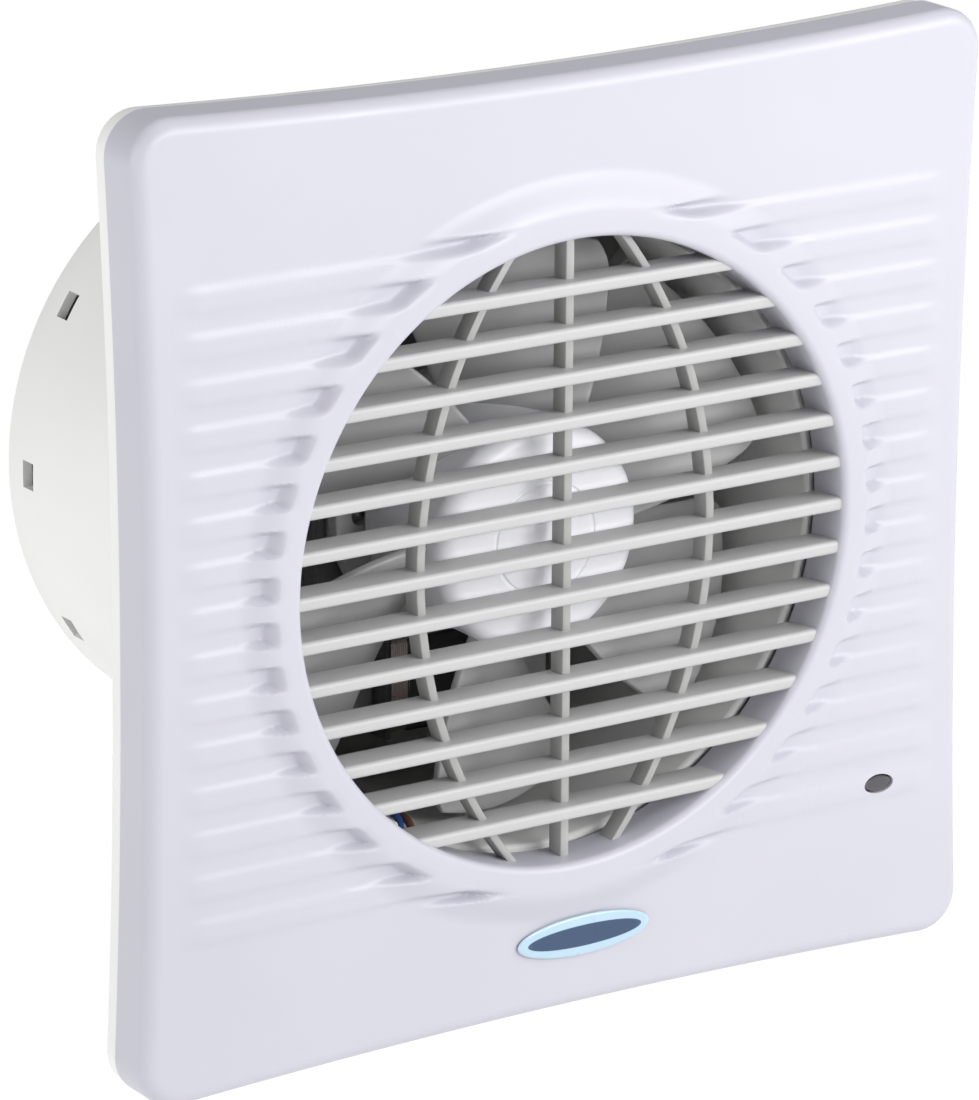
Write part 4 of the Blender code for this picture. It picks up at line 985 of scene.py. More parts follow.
cast_aluminium = bare_metal(
    "cast_aluminium",
    (0.66, 0.66, 0.67),
    (0.45, 0.44, 0.43),
    roughness=0.45,
    streak_scale=1400.0,
    depth=0.03,
)
rotor_front, rotor_back = STACK_Y + 0.6 * MM, STACK_BACK_Y - 0.6 * MM
rotor = turned(
    "cage_rotor",
    [
        (SHAFT_HOLE_R, rotor_front + 1.2 * MM),
        (5.5 * MM, rotor_front + 1.2 * MM),
        (6.5 * MM, rotor_front),
        (ROTOR_R - 0.9 * MM, rotor_front),
        (ROTOR_R - 0.6 * MM, rotor_front + 0.3 * MM),
        (ROTOR_R - 0.6 * MM, rotor_front + 1.6 * MM),
        (ROTOR_R - 0.25 * MM, rotor_front + 1.7 * MM),
        (ROTOR_R - 0.25 * MM, rotor_back - 1.7 * MM),
        (ROTOR_R - 0.6 * MM, rotor_back - 1.6 * MM),
        (ROTOR_R - 0.6 * MM, rotor_back - 0.3 * MM),
        (ROTOR_R - 0.9 * MM, rotor_back),
        (6.5 * MM, rotor_back),
        (5.5 * MM, rotor_back - 1.2 * MM),
        (SHAFT_HOLE_R, rotor_back - 1.2 * MM),
        (SHAFT_HOLE_R, rotor_front + 1.2 * MM),
    ],
    steps=96,
)
cage = [rotor]
for number in range(ROTOR_BARS):
    cage_bar = bar(
        "cage_bar",
        (ROTOR_R - 0.8 * MM, rotor_front + 1.5 * MM, -0.45 * MM),
        (ROTOR_R - 0.02 * MM, rotor_back - 1.5 * MM, 0.45 * MM),
        round_by=0.12 * MM,
        segments=1,
    )
    middle = (rotor_front + rotor_back) / 2
    length = rotor_back - rotor_front
    for vertex in cage_bar.data.vertices:
        skew = ROTOR_SKEW * (vertex.co.y - middle) / length
        vertex.co = Matrix.Rotation(math.radians(skew), 3, "Y") @ vertex.co
    cage.append(about_duct(cage_bar, 360 / ROTOR_BARS * number))
settle(gathered("cage_rotor", cage), cast_aluminium, "impeller_set", "rotor_metal", "rotor")

# ---------------------------------------------------------------------------
# Impeller: a hub with a smooth cap and six twisted blades, moulded as one in white
# polypropylene. The blades' darker grey is painted shade and the hub's paler white
# is painted light. A spring clip holds its boss to the shaft.
# ---------------------------------------------------------------------------

HUB_R = 18.0 * MM
HUB_APEX_Y = -4.8 * MM
HUB_BACK_Y = 18.0 * MM
HUB_EDGE_R = 3.0 * MM
HUB_WALL = 1.6 * MM
BOSS_R = 5.0 * MM
BLADES = 6
BLADE_FIRST = 22.0
BLADE_ROOT_R = 17.2 * MM
BLADE_TIP_R = 45.2 * MM
BLADE_THICK = 1.4 * MM
BLADE_FRONT_Y = 0.6 * MM
BLADE_BACK_Y = 16.6 * MM
BLADE_ROOT_SPAN = 50.0
BLADE_TIP_SPAN = 44.0
BLADE_SWEEP = 10.0
BLADE_CAMBER = 1.6 * MM
TIP_FLATTER = 0.22
CORNER_FROM = 0.86
CORNER_CUT = 0.10

# One moulding in two tones: the blades' grey is painted shade, and the hub's paler white is painted light.
blades_shaded_white = moulded_plastic(
    "blades_shaded_white", (0.42, 0.42, 0.425), (0.38, 0.38, 0.385), (0.56, 0.56, 0.565), roughness=0.40
)
hub_lit_white = moulded_plastic(
    "hub_lit_white", (0.93, 0.93, 0.97), (0.91, 0.91, 0.95), (0.95, 0.95, 0.97), roughness=0.34
)

hub_profile = [(HUB_R - HUB_WALL, HUB_BACK_Y - 0.2 * MM), (HUB_R - 0.3 * MM, HUB_BACK_Y)]
hub_profile.append((HUB_R, HUB_BACK_Y - 0.3 * MM))
edge_centre_y = HUB_APEX_Y + 4.0 * MM
for step in range(9):
    angle = math.pi / 2 * step / 8
    hub_profile.append(
        (HUB_R - HUB_EDGE_R * (1 - math.cos(angle)), edge_centre_y - HUB_EDGE_R * math.sin(angle))
    )
for r, y in (
    (12.0, -4.15),
    (9.2, -4.4),
    (9.0, -4.2),
    (8.6, -4.2),
    (8.4, -4.45),
    (5.0, -4.72),
    (2.0, -4.8),
    (0.05, -4.8),
):
    hub_profile.append((r * MM, y * MM))
hub_skin = turned("hub_skin", hub_profile, steps=96)
cavity_front = HUB_APEX_Y + 3.4 * MM
cavity = turned(
    "cavity",
    [
        (BOSS_R, HUB_BACK_Y + THROUGH),
        (HUB_R - HUB_WALL, HUB_BACK_Y + THROUGH),
        (HUB_R - HUB_WALL, cavity_front + 1.0 * MM),
        (HUB_R - HUB_WALL - 1.0 * MM, cavity_front),
        (BOSS_R, cavity_front),
        (BOSS_R, HUB_BACK_Y + THROUGH),
    ],
    steps=96,
)
bore = turned(
    "bore", [(SHAFT_HOLE_R, HUB_BACK_Y + THROUGH), (SHAFT_HOLE_R, SHAFT_FRONT_Y - 0.3 * MM)], steps=48
)
carve(hub_skin, cavity, bore)
settle(hub_skin, hub_lit_white, "impeller_set", "impeller_plastic", "impeller")

blade_depth = BLADE_BACK_Y - BLADE_FRONT_Y
blade_middle = (BLADE_BACK_Y + BLADE_FRONT_Y) / 2
bpy.ops.object.select_all(action="DESELECT")
bpy.ops.mesh.primitive_grid_add(x_subdivisions=28, y_subdivisions=26, size=1.0)
blade = bpy.context.object
for vertex in blade.data.vertices:
    along, out = vertex.co.x, vertex.co.y + 0.5
    corner = max(out - CORNER_FROM, 0.0) / (1 - CORNER_FROM)
    along *= 1 - CORNER_CUT * corner**2
    radius = BLADE_ROOT_R + (BLADE_TIP_R - BLADE_ROOT_R) * out
    span = BLADE_ROOT_SPAN + (BLADE_TIP_SPAN - BLADE_ROOT_SPAN) * out
    angle = BLADE_FIRST + BLADE_SWEEP * out + span * along
    camber = BLADE_CAMBER * math.cos(math.pi * along)
    vertex.co.x = radius * math.cos(math.radians(angle))
    vertex.co.y = blade_middle + blade_depth * (1.0 - TIP_FLATTER * out) * along - camber
    vertex.co.z = radius * math.sin(math.radians(angle))
skin = blade.modifiers.new("skin", "SOLIDIFY")
skin.thickness = BLADE_THICK
skin.offset = 0.0
soften = blade.modifiers.new("soften", "BEVEL")
soften.width = 0.42 * MM
soften.segments = 3
soften.limit_method = "ANGLE"
soften.angle_limit = math.radians(50)
pick(blade)
bpy.ops.object.modifier_apply(modifier="skin")
bpy.ops.object.modifier_apply(modifier="soften")
bpy.ops.object.mode_set(mode="EDIT")
bpy.ops.mesh.select_all(action="SELECT")
bpy.ops.mesh.normals_make_consistent(inside=False)
bpy.ops.object.mode_set(mode="OBJECT")
blades = [blade]
for number in range(1, BLADES):
    blades.append(about_duct(copied(blade, "blade"), 360 / BLADES * number))
settle(gathered("impeller_blades", blades), blades_shaded_white, "impeller_set", "impeller_plastic", "impeller")

clip_y = HUB_BACK_Y - 1.7 * MM
spring_clip = turned(
    "spring_clip",
    [
        (BOSS_R + 0.35 * MM, clip_y - 0.5 * MM),
        (BOSS_R + 1.1 * MM, clip_y - 0.5 * MM),
        (BOSS_R + 1.3 * MM, clip_y - 0.3 * MM),
        (BOSS_R + 1.3 * MM, clip_y + 0.3 * MM),
        (BOSS_R + 1.1 * MM, clip_y + 0.5 * MM),
        (BOSS_R + 0.35 * MM, clip_y + 0.5 * MM),
        (BOSS_R + 0.35 * MM, clip_y - 0.5 * MM),
    ],
    steps=48,
)
carve(spring_clip, bar("gap", (0.0, clip_y - 2 * MM, -MM), (2 * BOSS_R, clip_y + 2 * MM, MM)))
settle(spring_clip, ground_steel, "impeller_set", "zinc_steel", "hub_clip")

# ---------------------------------------------------------------------------
# Back-draught shutter: a ring latched in the spigot's end, two half-round flaps
# on one steel pin, and a light spring for each. Frame and flaps are moulded.
# ---------------------------------------------------------------------------

SHUTTER_FRONT_Y = 60.0 * MM
SHUTTER_BACK_Y = 70.0 * MM
SEAT_Y = 62.2 * MM
SEAT_R = 41.5 * MM
FRAME_R = 44.8 * MM
FLAP_R = 44.2 * MM
FLAP_THICK = 0.9 * MM
PIN_Y = 65.0 * MM
PIN_R = 1.0 * MM
KNUCKLE_R = 2.2 * MM
LUG_FROM = 41.6 * MM
SPINE_X = 2.0 * MM
RIB_PLACES = (-26.0 * MM, -13.5 * MM, 0.0, 13.5 * MM, 26.0 * MM)
KNUCKLES = {
    -1: ((-21.0 * MM, -5.0 * MM), (22.0 * MM, 38.0 * MM)),
    1: ((-38.0 * MM, -22.0 * MM), (5.0 * MM, 21.0 * MM)),
}

# Dark grey plastic, made nearly black as painted shade for the back of the duct seen between the blades.
shutter_grey = moulded_plastic(
    "shutter_grey", (0.08, 0.08, 0.085), (0.07, 0.07, 0.075), (0.15, 0.15, 0.155), roughness=0.50
)


def along_z(name, radius, low_z, high_z, steps=32, chamfer=0.0):
    """A rod along Z on the shutter's pin line."""
    piece = turned(
        name,
        [
            (radius - chamfer, low_z),
            (radius, low_z + max(chamfer, 0.001 * MM)),
            (radius, high_z - max(chamfer, 0.001 * MM)),
            (radius - chamfer, high_z),
        ],
        steps=steps,
    )
    piece.data.transform(Matrix.Translation((0.0, PIN_Y, 0.0)) @ Matrix.Rotation(math.pi / 2, 4, "X"))
    return piece


frame_outer = DUCT_R - 0.3 * MM
shutter_ring = turned(
    "shutter_ring",
    [
        (FRAME_R + 0.3 * MM, SHUTTER_BACK_Y),
        (frame_outer - 0.4 * MM, SHUTTER_BACK_Y),
        (frame_outer, SHUTTER_BACK_Y - 0.4 * MM),
        (frame_outer, SHUTTER_FRONT_Y + 0.4 * MM),
        (frame_outer - 0.4 * MM, SHUTTER_FRONT_Y),
        (SEAT_R + 0.4 * MM, SHUTTER_FRONT_Y),
        (SEAT_R, SHUTTER_FRONT_Y + 0.4 * MM),
        (SEAT_R, SEAT_Y - 0.3 * MM),
        (SEAT_R + 0.3 * MM, SEAT_Y),
        (FRAME_R, SEAT_Y),
        (FRAME_R, SHUTTER_BACK_Y - 0.3 * MM),
        (FRAME_R + 0.3 * MM, SHUTTER_BACK_Y),
    ],
    steps=160,
)
bar_end = SEAT_R + 1.1 * MM
seat_bar = bar(
    "seat_bar",
    (-3 * MM, SHUTTER_FRONT_Y + 0.1 * MM, -bar_end),
    (3 * MM, SEAT_Y, bar_end),
    round_by=0.3 * MM,
)
shutter_parts = [shutter_ring, seat_bar]
for side in (-1, 1):
    ends = sorted((side * LUG_FROM, side * (FRAME_R + MM)))
    lug = bar(
        "lug", (-KNUCKLE_R, SEAT_Y - MM, ends[0]), (KNUCKLE_R, PIN_Y + KNUCKLE_R, ends[1]), round_by=0.4 * MM
    )
    shutter_parts.append(carve(lug, along_z("drill", PIN_R + 0.3 * MM, ends[0] - MM, ends[1] + MM)))
settle(gathered("shutter_ring", shutter_parts), shutter_grey, "casing", "grey_shutter", "shutter_frame")
settle(
    along_z("hinge_pin", PIN_R, -46.5 * MM, 46.5 * MM, steps=32, chamfer=0.2 * MM),
    ground_steel,
    "casing",
    "zinc_steel",
    "shutter_pin",
)

for side, label in ((-1, "left"), (1, "right")):
    flap_front = SEAT_Y + 0.3 * MM
    flap_back = flap_front + FLAP_THICK
    leaf = turned(
        "leaf",
        [
            (FLAP_R - 0.3 * MM, flap_front),
            (FLAP_R, flap_front + 0.25 * MM),
            (FLAP_R, flap_back),
            (FLAP_R - 0.3 * MM, flap_back + 0.35 * MM),
            (FLAP_R - 1.4 * MM, flap_back + 0.35 * MM),
            (FLAP_R - 1.8 * MM, flap_back),
            (FLAP_R - 2.4 * MM, flap_back),
        ],
        steps=160,
    )
    pick(leaf)
    bpy.ops.object.mode_set(mode="EDIT")
    bpy.ops.mesh.select_all(action="SELECT")
    bpy.ops.mesh.bisect(
        plane_co=(side * SPINE_X, 0.0, 0.0),
        plane_no=(side * 1.0, 0.0, 0.0),
        use_fill=True,
        clear_inner=True,
    )
    bpy.ops.object.mode_set(mode="OBJECT")
    for end in (-1, 1):
        ends = sorted((end * (LUG_FROM - 0.5 * MM), end * 60 * MM))
        clear = KNUCKLE_R + 1.3 * MM
        carve(leaf, bar("clear", (-clear, flap_front - MM, ends[0]), (clear, flap_back + 2 * MM, ends[1])))
    flap_parts = [leaf]
    for low, high in KNUCKLES[side]:
        knuckle = along_z("knuckle", KNUCKLE_R, low, high, steps=40, chamfer=0.25 * MM)
        web = sorted((side * 0.3 * MM, side * (SPINE_X + 1.2 * MM)))
        tongue = bar(
            "tongue",
            (web[0], flap_front + 0.1 * MM, low + 0.5 * MM),
            (web[1], flap_back + 0.9 * MM, high - 0.5 * MM),
            round_by=0.15 * MM,
        )
        carve(knuckle, tongue, operation="UNION")
        flap_parts.append(carve(knuckle, along_z("drill", PIN_R + 0.3 * MM, low - MM, high + MM)))
    for rib_z in RIB_PLACES:
        reach = math.sqrt((FLAP_R - 1.2 * MM) ** 2 - rib_z**2)
        rib_x = sorted((side * 3.4 * MM, side * reach))
        flap_parts.append(
            bar(
                "rib",
                (rib_x[0], flap_back - 0.3 * MM, rib_z - 0.45 * MM),
                (rib_x[1], flap_back + 0.7 * MM, rib_z + 0.45 * MM),
                round_by=0.18 * MM,
                segments=2,
            )
        )
    edge_x = sorted((side * (SPINE_X + 0.02 * MM), side * (SPINE_X + 0.9 * MM)))
    flap_parts.append(
        bar(
            "edge",
            (edge_x[0], flap_back - 0.3 * MM, -40 * MM),
            (edge_x[1], flap_back + 0.5 * MM, 40 * MM),
            round_by=0.15 * MM,
        )
    )
    flap = gathered(f"{label}_flap_moulding", flap_parts)
    settle(flap, shutter_grey, f"{label}_flap", "grey_shutter", f"flap_{label}")


def rounded_from_cad(name, node, swell):
    """A drawn wire: the frame's own coarse tube, made whole, swelled a little and subdivided round."""
    source = frame["nodes"][node]
    piece = bpy.data.objects.new(name, source.data.copy())
    bpy.context.scene.collection.objects.link(piece)
    pick(piece)
    bpy.ops.object.mode_set(mode="EDIT")
    bpy.ops.mesh.select_all(action="SELECT")
    bpy.ops.mesh.remove_doubles(threshold=0.000005)
    bpy.ops.mesh.tris_convert_to_quads(face_threshold=math.radians(60), shape_threshold=math.radians(60))
    bpy.ops.mesh.normals_make_consistent(inside=False)
    bpy.ops.transform.shrink_fatten(value=swell)
    bpy.ops.object.mode_set(mode="OBJECT")
    smooth = piece.modifiers.new("smooth", "SUBSURF")
    smooth.levels = 2
    smooth.render_levels = 2
    bpy.ops.object.modifier_apply(modifier="smooth")
    return piece


for label in ("left", "right"):
    spring = rounded_from_cad(f"{label}_return_spring", f"flap_spring_{label}", 0.03 * MM)
    settle(spring, ground_steel, "casing", "zinc_steel", f"flap_spring_{label}", smooth_below=80)

# ---------------------------------------------------------------------------
# Cable entry: a soft grommet in the plate's cable hole, and beside it a ribbed
# bar under two screws that clamps the cable's sheath to the plate.
# ---------------------------------------------------------------------------

CLAMP_AT = (-60.0 * MM, -42.0 * MM)
CLAMP_REACH = 6.0 * MM
CLAMP_FRONT_Y = -7.2 * MM
RESTS_Y = -3.3 * MM
SCREW_TIP_Y = -1.2 * MM

soft_rubber = moulded_plastic(
    "soft_rubber",
    (0.15, 0.15, 0.155),
    (0.20, 0.20, 0.20),
    (0.26, 0.26, 0.26),
    roughness=0.78,
    grain_depth=0.05,
)
grommet_profile = [
    (4.3, -0.3),
    (4.3, -3.3),
    (5.9, -3.3),
    (6.2, -3.5),
    (6.1, -4.1),
    (5.6, -4.6),
    (4.9, -4.7),
    (3.6, -4.7),
    (3.0, -4.4),
    (2.8, -3.9),
    (2.8, -0.7),
    (3.1, -0.3),
    (4.3, -0.3),
]
grommet = turned("grommet_ring", [(r * MM, y * MM) for r, y in grommet_profile], at=CABLE_AT, steps=56)
settle(grommet, soft_rubber, "casing", "grey_rubber", "cable_grommet")

clamp_x, clamp_z = CLAMP_AT
clamp = bar(
    "clamp_bar",
    (clamp_x - 8.6 * MM, CLAMP_FRONT_Y, clamp_z - 2.6 * MM),
    (clamp_x + 8.6 * MM, RESTS_Y, clamp_z + 2.6 * MM),
    round_by=0.6 * MM,
    segments=4,
)
tunnel = turned("tunnel", [(3.0 * MM, -9 * MM), (3.0 * MM, 9 * MM)], steps=48)
tunnel.data.transform(
    Matrix.Translation((clamp_x, RESTS_Y, clamp_z)) @ Matrix.Rotation(math.pi / 2, 4, "X")
)
clamp_places = [(clamp_x - CLAMP_REACH, clamp_z), (clamp_x + CLAMP_REACH, clamp_z)]
clamp_drills = [
    turned("drill", [(1.5 * MM, HOLE_FRONT_Y), (1.5 * MM, 0.0)], at=place, steps=24)
    for place in clamp_places
]
carve(clamp, tunnel, *clamp_drills)
settle(clamp, casing_white, "casing", "white_casing", "cable_clamp")

clamp_seat_y = CLAMP_FRONT_Y - 0.3 * MM
clamp_screw = pan_screw(
    head_r=2.1 * MM,
    head_depth=1.6 * MM,
    shank_r=1.05 * MM,
    length=SCREW_TIP_Y - clamp_seat_y,
    thread_pitch=0.7 * MM,
)
clamp_screws = placed_screws("clamp_screws", clamp_screw, clamp_places, clamp_seat_y)
settle(clamp_screws, zinc_plate, "casing", "zinc_steel", "clamp_screw_1", "clamp_screw_2")

# ---------------------------------------------------------------------------
# Terminal block: three poles in white nylon, with raised collars round the screw
# wells, barriers between the poles and a sunk fixing screw at the lower edge.
# ---------------------------------------------------------------------------

BLOCK_LOW = (-69.0 * MM, -61.0 * MM)
BLOCK_HIGH = (-47.0 * MM, -50.0 * MM)
BLOCK_FRONT_Y = -9.7 * MM
BLOCK_BODY_Y = -9.2 * MM
WIRE_HOLE_Y = -5.2 * MM
WIRE_HOLE_R = 1.5 * MM
WELL_R = 1.8 * MM
TERMINAL_X = (-51.0 * MM, -58.0 * MM, -65.0 * MM)
TERMINAL_Z = -54.0 * MM
BLOCK_SCREW_AT = (-61.5 * MM, -58.8 * MM)

nylon_white = moulded_plastic(
    "nylon_white", (0.72, 0.72, 0.69), (0.67, 0.67, 0.64), (0.82, 0.82, 0.80), roughness=0.5
)
block = bar(
    "pole_block",
    (BLOCK_LOW[0], BLOCK_BODY_Y, BLOCK_LOW[1]),
    (BLOCK_HIGH[0], RESTS_Y, BLOCK_HIGH[1]),
    round_by=0.5 * MM,
)
for x in TERMINAL_X:
    pole_hole = turned("wire_hole", [(WIRE_HOLE_R, -9 * MM), (WIRE_HOLE_R, 9 * MM)], steps=32)
    pole_hole.data.transform(
        Matrix.Translation((x, WIRE_HOLE_Y, (BLOCK_LOW[1] + BLOCK_HIGH[1]) / 2))
        @ Matrix.Rotation(math.pi / 2, 4, "X")
    )
    well = turned(
        "well", [(WELL_R, WIRE_HOLE_Y), (WELL_R, BLOCK_FRONT_Y - THROUGH)], at=(x, TERMINAL_Z), steps=32
    )
    carve(block, pole_hole, well)
fixing_hole = turned(
    "fixing", [(1.2 * MM, 0.0), (1.2 * MM, BLOCK_FRONT_Y - THROUGH)], at=BLOCK_SCREW_AT, steps=24
)
fixing_sink = turned(
    "sink",
    [(2.0 * MM, BLOCK_FRONT_Y + 2.0 * MM), (2.0 * MM, BLOCK_FRONT_Y - THROUGH)],
    at=BLOCK_SCREW_AT,
    steps=32,
)
carve(block, fixing_hole, fixing_sink)
block_parts = [block]
for x in TERMINAL_X:
    collar = [(1.8, -9.0), (2.6, -9.0), (2.6, -9.6), (2.45, -9.7), (1.95, -9.7), (1.8, -9.55), (1.8, -9.0)]
    block_parts.append(turned("collar", [(r * MM, y * MM) for r, y in collar], at=(x, TERMINAL_Z), steps=32))
for x in (-54.5 * MM, -61.5 * MM):
    block_parts.append(
        bar(
            "barrier",
            (x - 0.5 * MM, BLOCK_FRONT_Y, -56.2 * MM),
            (x + 0.5 * MM, -9.0 * MM, -50.6 * MM),
            round_by=0.15 * MM,
        )
    )
settle(gathered("pole_block", block_parts), nylon_white, "casing", "white_casing", "terminal_block")

terminal_seat_y = BLOCK_FRONT_Y + 1.6 * MM
terminal_reach = WIRE_HOLE_Y - 0.95 * MM - terminal_seat_y
terminal_screw = pan_screw(
    head_r=1.5 * MM, head_depth=1.2 * MM, shank_r=1.3 * MM, length=terminal_reach, thread_pitch=0.6 * MM
)
terminal_screws = placed_screws(
    "terminal_screws", terminal_screw, [(x, TERMINAL_Z) for x in TERMINAL_X], terminal_seat_y
)
settle(
    terminal_screws,
    zinc_plate,
    "casing",
    "zinc_steel",
    "terminal_screw_1",
    "terminal_screw_2",
    "terminal_screw_3",
)
fixing_seat_y = BLOCK_FRONT_Y + 1.7 * MM
fixing_screw = pan_screw(
    head_r=1.7 * MM,
    head_depth=1.2 * MM,
    shank_r=0.9 * MM,
    length=SCREW_TIP_Y - fixing_seat_y,
    thread_pitch=0.7 * MM,
)
fixing_screw = placed_screws("fixing_screw", fixing_screw, [BLOCK_SCREW_AT], fixing_seat_y)
settle(fixing_screw, zinc_plate, "casing", "zinc_steel", "block_screw")

# ---------------------------------------------------------------------------
# Timer board: green glass-epoxy laminate on two posts, with tinned pads and tracks,
# three chip resistors, and its screws in two corners.
# ---------------------------------------------------------------------------

BOARD_LOW = (44.5 * MM, -61.0 * MM)
BOARD_HIGH = (69.2 * MM, -41.5 * MM)
BOARD_FRONT_Y = -6.2 * MM
BOARD_BACK_Y = -4.6 * MM
BOARD_SCREW_TIP_Y = -2.0 * MM
TRACK_PITCH = 1.9 * MM
LEG_PITCH = 1.27


def lacquered_board(name):
    """Green solder lacquer with paler tracks showing through and a faint glass weave."""
    material = bpy.data.materials.new(name)
    material.use_nodes = True
    tree = material.node_tree
    shader = tree.nodes["Principled BSDF"]
    place = tree.nodes.new("ShaderNodeTexCoord").outputs["Object"]
    bricks = tree.nodes.new("ShaderNodeTexBrick")
    bricks.inputs["Scale"].default_value = 1.0 / TRACK_PITCH
    bricks.inputs["Mortar Size"].default_value = 0.11
    bricks.inputs["Mortar Smooth"].default_value = 0.1
    bricks.inputs["Brick Width"].default_value = 2.6
    bricks.inputs["Row Height"].default_value = 0.9
    flat = tree.nodes.new("ShaderNodeMapping")
    flat.inputs["Rotation"].default_value = (math.pi / 2, 0.0, 0.0)
    tree.links.new(place, flat.inputs["Vector"])
    tree.links.new(flat.outputs["Vector"], bricks.inputs["Vector"])
    cloud = add_range(tree, add_noise(tree, place, scale=260.0, detail=4.0), 0.35, 0.7, 0.0, 1.0)
    lacquer = add_mix(tree, cloud, (0.018, 0.13, 0.055, 1.0), (0.012, 0.095, 0.042, 1.0))
    tone = add_mix(tree, bricks.outputs["Fac"], lacquer, (0.05, 0.26, 0.11, 1.0))
    weave = add_noise(tree, place, scale=2600.0, detail=2.0)
    bump = tree.nodes.new("ShaderNodeBump")
    bump.inputs["Strength"].default_value = 0.35
    bump.inputs["Distance"].default_value = 0.03 * MM
    tree.links.new(add_math(tree, "ADD", bricks.outputs["Fac"], weave), bump.inputs["Height"])
    tree.links.new(bump.outputs["Normal"], shader.inputs["Normal"])
    tree.links.new(tone, shader.inputs["Base Color"])
    tree.links.new(add_range(tree, weave, 0.3, 0.7, 0.28, 0.42), shader.inputs["Roughness"])
    return material


board = bar(
    "lacquered_board",
    (BOARD_LOW[0], BOARD_FRONT_Y, BOARD_LOW[1]),
    (BOARD_HIGH[0], BOARD_BACK_Y, BOARD_HIGH[1]),
    round_by=0.12 * MM,
    segments=1,
)
board_drills = [
    turned("drill", [(1.4 * MM, HOLE_FRONT_Y), (1.4 * MM, 0.0)], at=place, steps=24)
    for place in BOARD_SCREWS
]
carve(board, *board_drills)
settle(board, lacquered_board("green_lacquer"), "casing", "board_laminate", "control_board")

tin_solder = bare_metal(
    "tin_solder", (0.66, 0.66, 0.64), (0.50, 0.50, 0.48), roughness=0.3, streak_scale=1800.0
)
# Solder joints, as (x, z) in millimetres: the leads, the chip's two rows, then the other pieces.
solder_places = [(47.2, -57.2), (47.2, -59.6)]
for row in range(4):
    solder_places.append((49.2, -46.0 - LEG_PITCH * row))
    solder_places.append((56.2, -46.0 - LEG_PITCH * row))
solder_places += [(60.2, -46.0), (60.2, -51.0), (58.9, -54.2), (49.4, -54.2), (52.6, -43.6), (56.0, -43.6)]
dots = []
for x, z in solder_places:
    profile = [(0.75, -6.2), (0.72, -6.3), (0.55, -6.46), (0.3, -6.56), (0.05, -6.6)]
    dots.append(turned("dot", [(r * MM, y * MM) for r, y in profile], at=(x * MM, z * MM), steps=20))
settle(gathered("solder_dots", dots), tin_solder, "casing", "zinc_steel")

chip_body = moulded_plastic(
    "chip_black", (0.018, 0.018, 0.02), (0.025, 0.025, 0.027), (0.06, 0.06, 0.06), roughness=0.42
)
resistors, caps = [], []
for x, z in ((58.7, -57.6), (58.7, -59.2), (61.8, -57.6)):
    low = Vector((x - 0.8, -6.75, z - 0.5)) * MM
    high = Vector((x + 0.8, -6.2, z + 0.5)) * MM
    resistors.append(bar("resistor", low, high, round_by=0.08 * MM, segments=1))
    for side in (-1, 1):
        edge = sorted((x + side * 0.78, x + side * 1.05))
        caps.append(
            bar(
                "end_cap",
                (edge[0] * MM, -6.78 * MM, (z - 0.52) * MM),
                (edge[1] * MM, -6.2 * MM, (z + 0.52) * MM),
                round_by=0.08 * MM,
                segments=1,
            )
        )
settle(gathered("chip_resistors", resistors), chip_body, "casing", "black_plastic")
settle(gathered("resistor_ends", caps), tin_solder, "casing", "zinc_steel")

board_seat_y = BOARD_FRONT_Y - 0.3 * MM
board_screw = pan_screw(
    head_r=2.1 * MM,
    head_depth=1.6 * MM,
    shank_r=0.95 * MM,
    length=BOARD_SCREW_TIP_Y - board_seat_y,
    thread_pitch=0.7 * MM,
)
board_screws = placed_screws("board_screws", board_screw, BOARD_SCREWS, board_seat_y)
settle(board_screws, zinc_plate, "casing", "zinc_steel", "board_screw_1", "board_screw_2")

# ---------------------------------------------------------------------------
# On the board: the indicator, a film capacitor in yellow resin, the timer chip with
# its eight legs, and the run-on trimmer with the slotted dial that a tool turns.
# ---------------------------------------------------------------------------

LED_AT = (57.8 * MM, -47.3 * MM)
TRIMMER_AT = (54.0 * MM, -54.2 * MM)
TRIMMER_HALF = 3.2 * MM
CAPACITOR_LOW = (61.5 * MM, -54.4 * MM)
CAPACITOR_HIGH = (68.4 * MM, -42.6 * MM)
CHIP_LOW = (50.6 * MM, -50.0 * MM)
CHIP_HIGH = (54.8 * MM, -45.2 * MM)

led_resin = moulded_plastic(
    "led_resin",
    (0.10, 0.09, 0.10),
    (0.13, 0.11, 0.12),
    (0.2, 0.18, 0.19),
    roughness=0.12,
    grain_depth=0.005,
    coat=0.6,
)
led_profile = [
    (1.5, -6.5),
    (1.9, -6.5),
    (1.9, -7.2),
    (1.8, -7.3),
    (1.5, -7.3),
    (1.48, -7.6),
    (1.3, -7.95),
    (0.95, -8.22),
    (0.5, -8.37),
    (0.05, -8.4),
]
led = turned("led_dome", [(r * MM, y * MM) for r, y in led_profile], at=LED_AT, steps=40)
settle(led, led_resin, "casing", "smoked_lens", "status_led")

resin_yellow = moulded_plastic(
    "resin_yellow",
    (0.72, 0.50, 0.07),
    (0.66, 0.44, 0.05),
    (0.82, 0.62, 0.16),
    roughness=0.3,
    grain_depth=0.03,
    coat=0.3,
)
film_box = bar(
    "film_box",
    (CAPACITOR_LOW[0], -9.8 * MM, CAPACITOR_LOW[1]),
    (CAPACITOR_HIGH[0], board_seat_y, CAPACITOR_HIGH[1]),
    round_by=0.8 * MM,
    segments=4,
)
settle(film_box, resin_yellow, "casing", "capacitor_yellow", "film_capacitor")

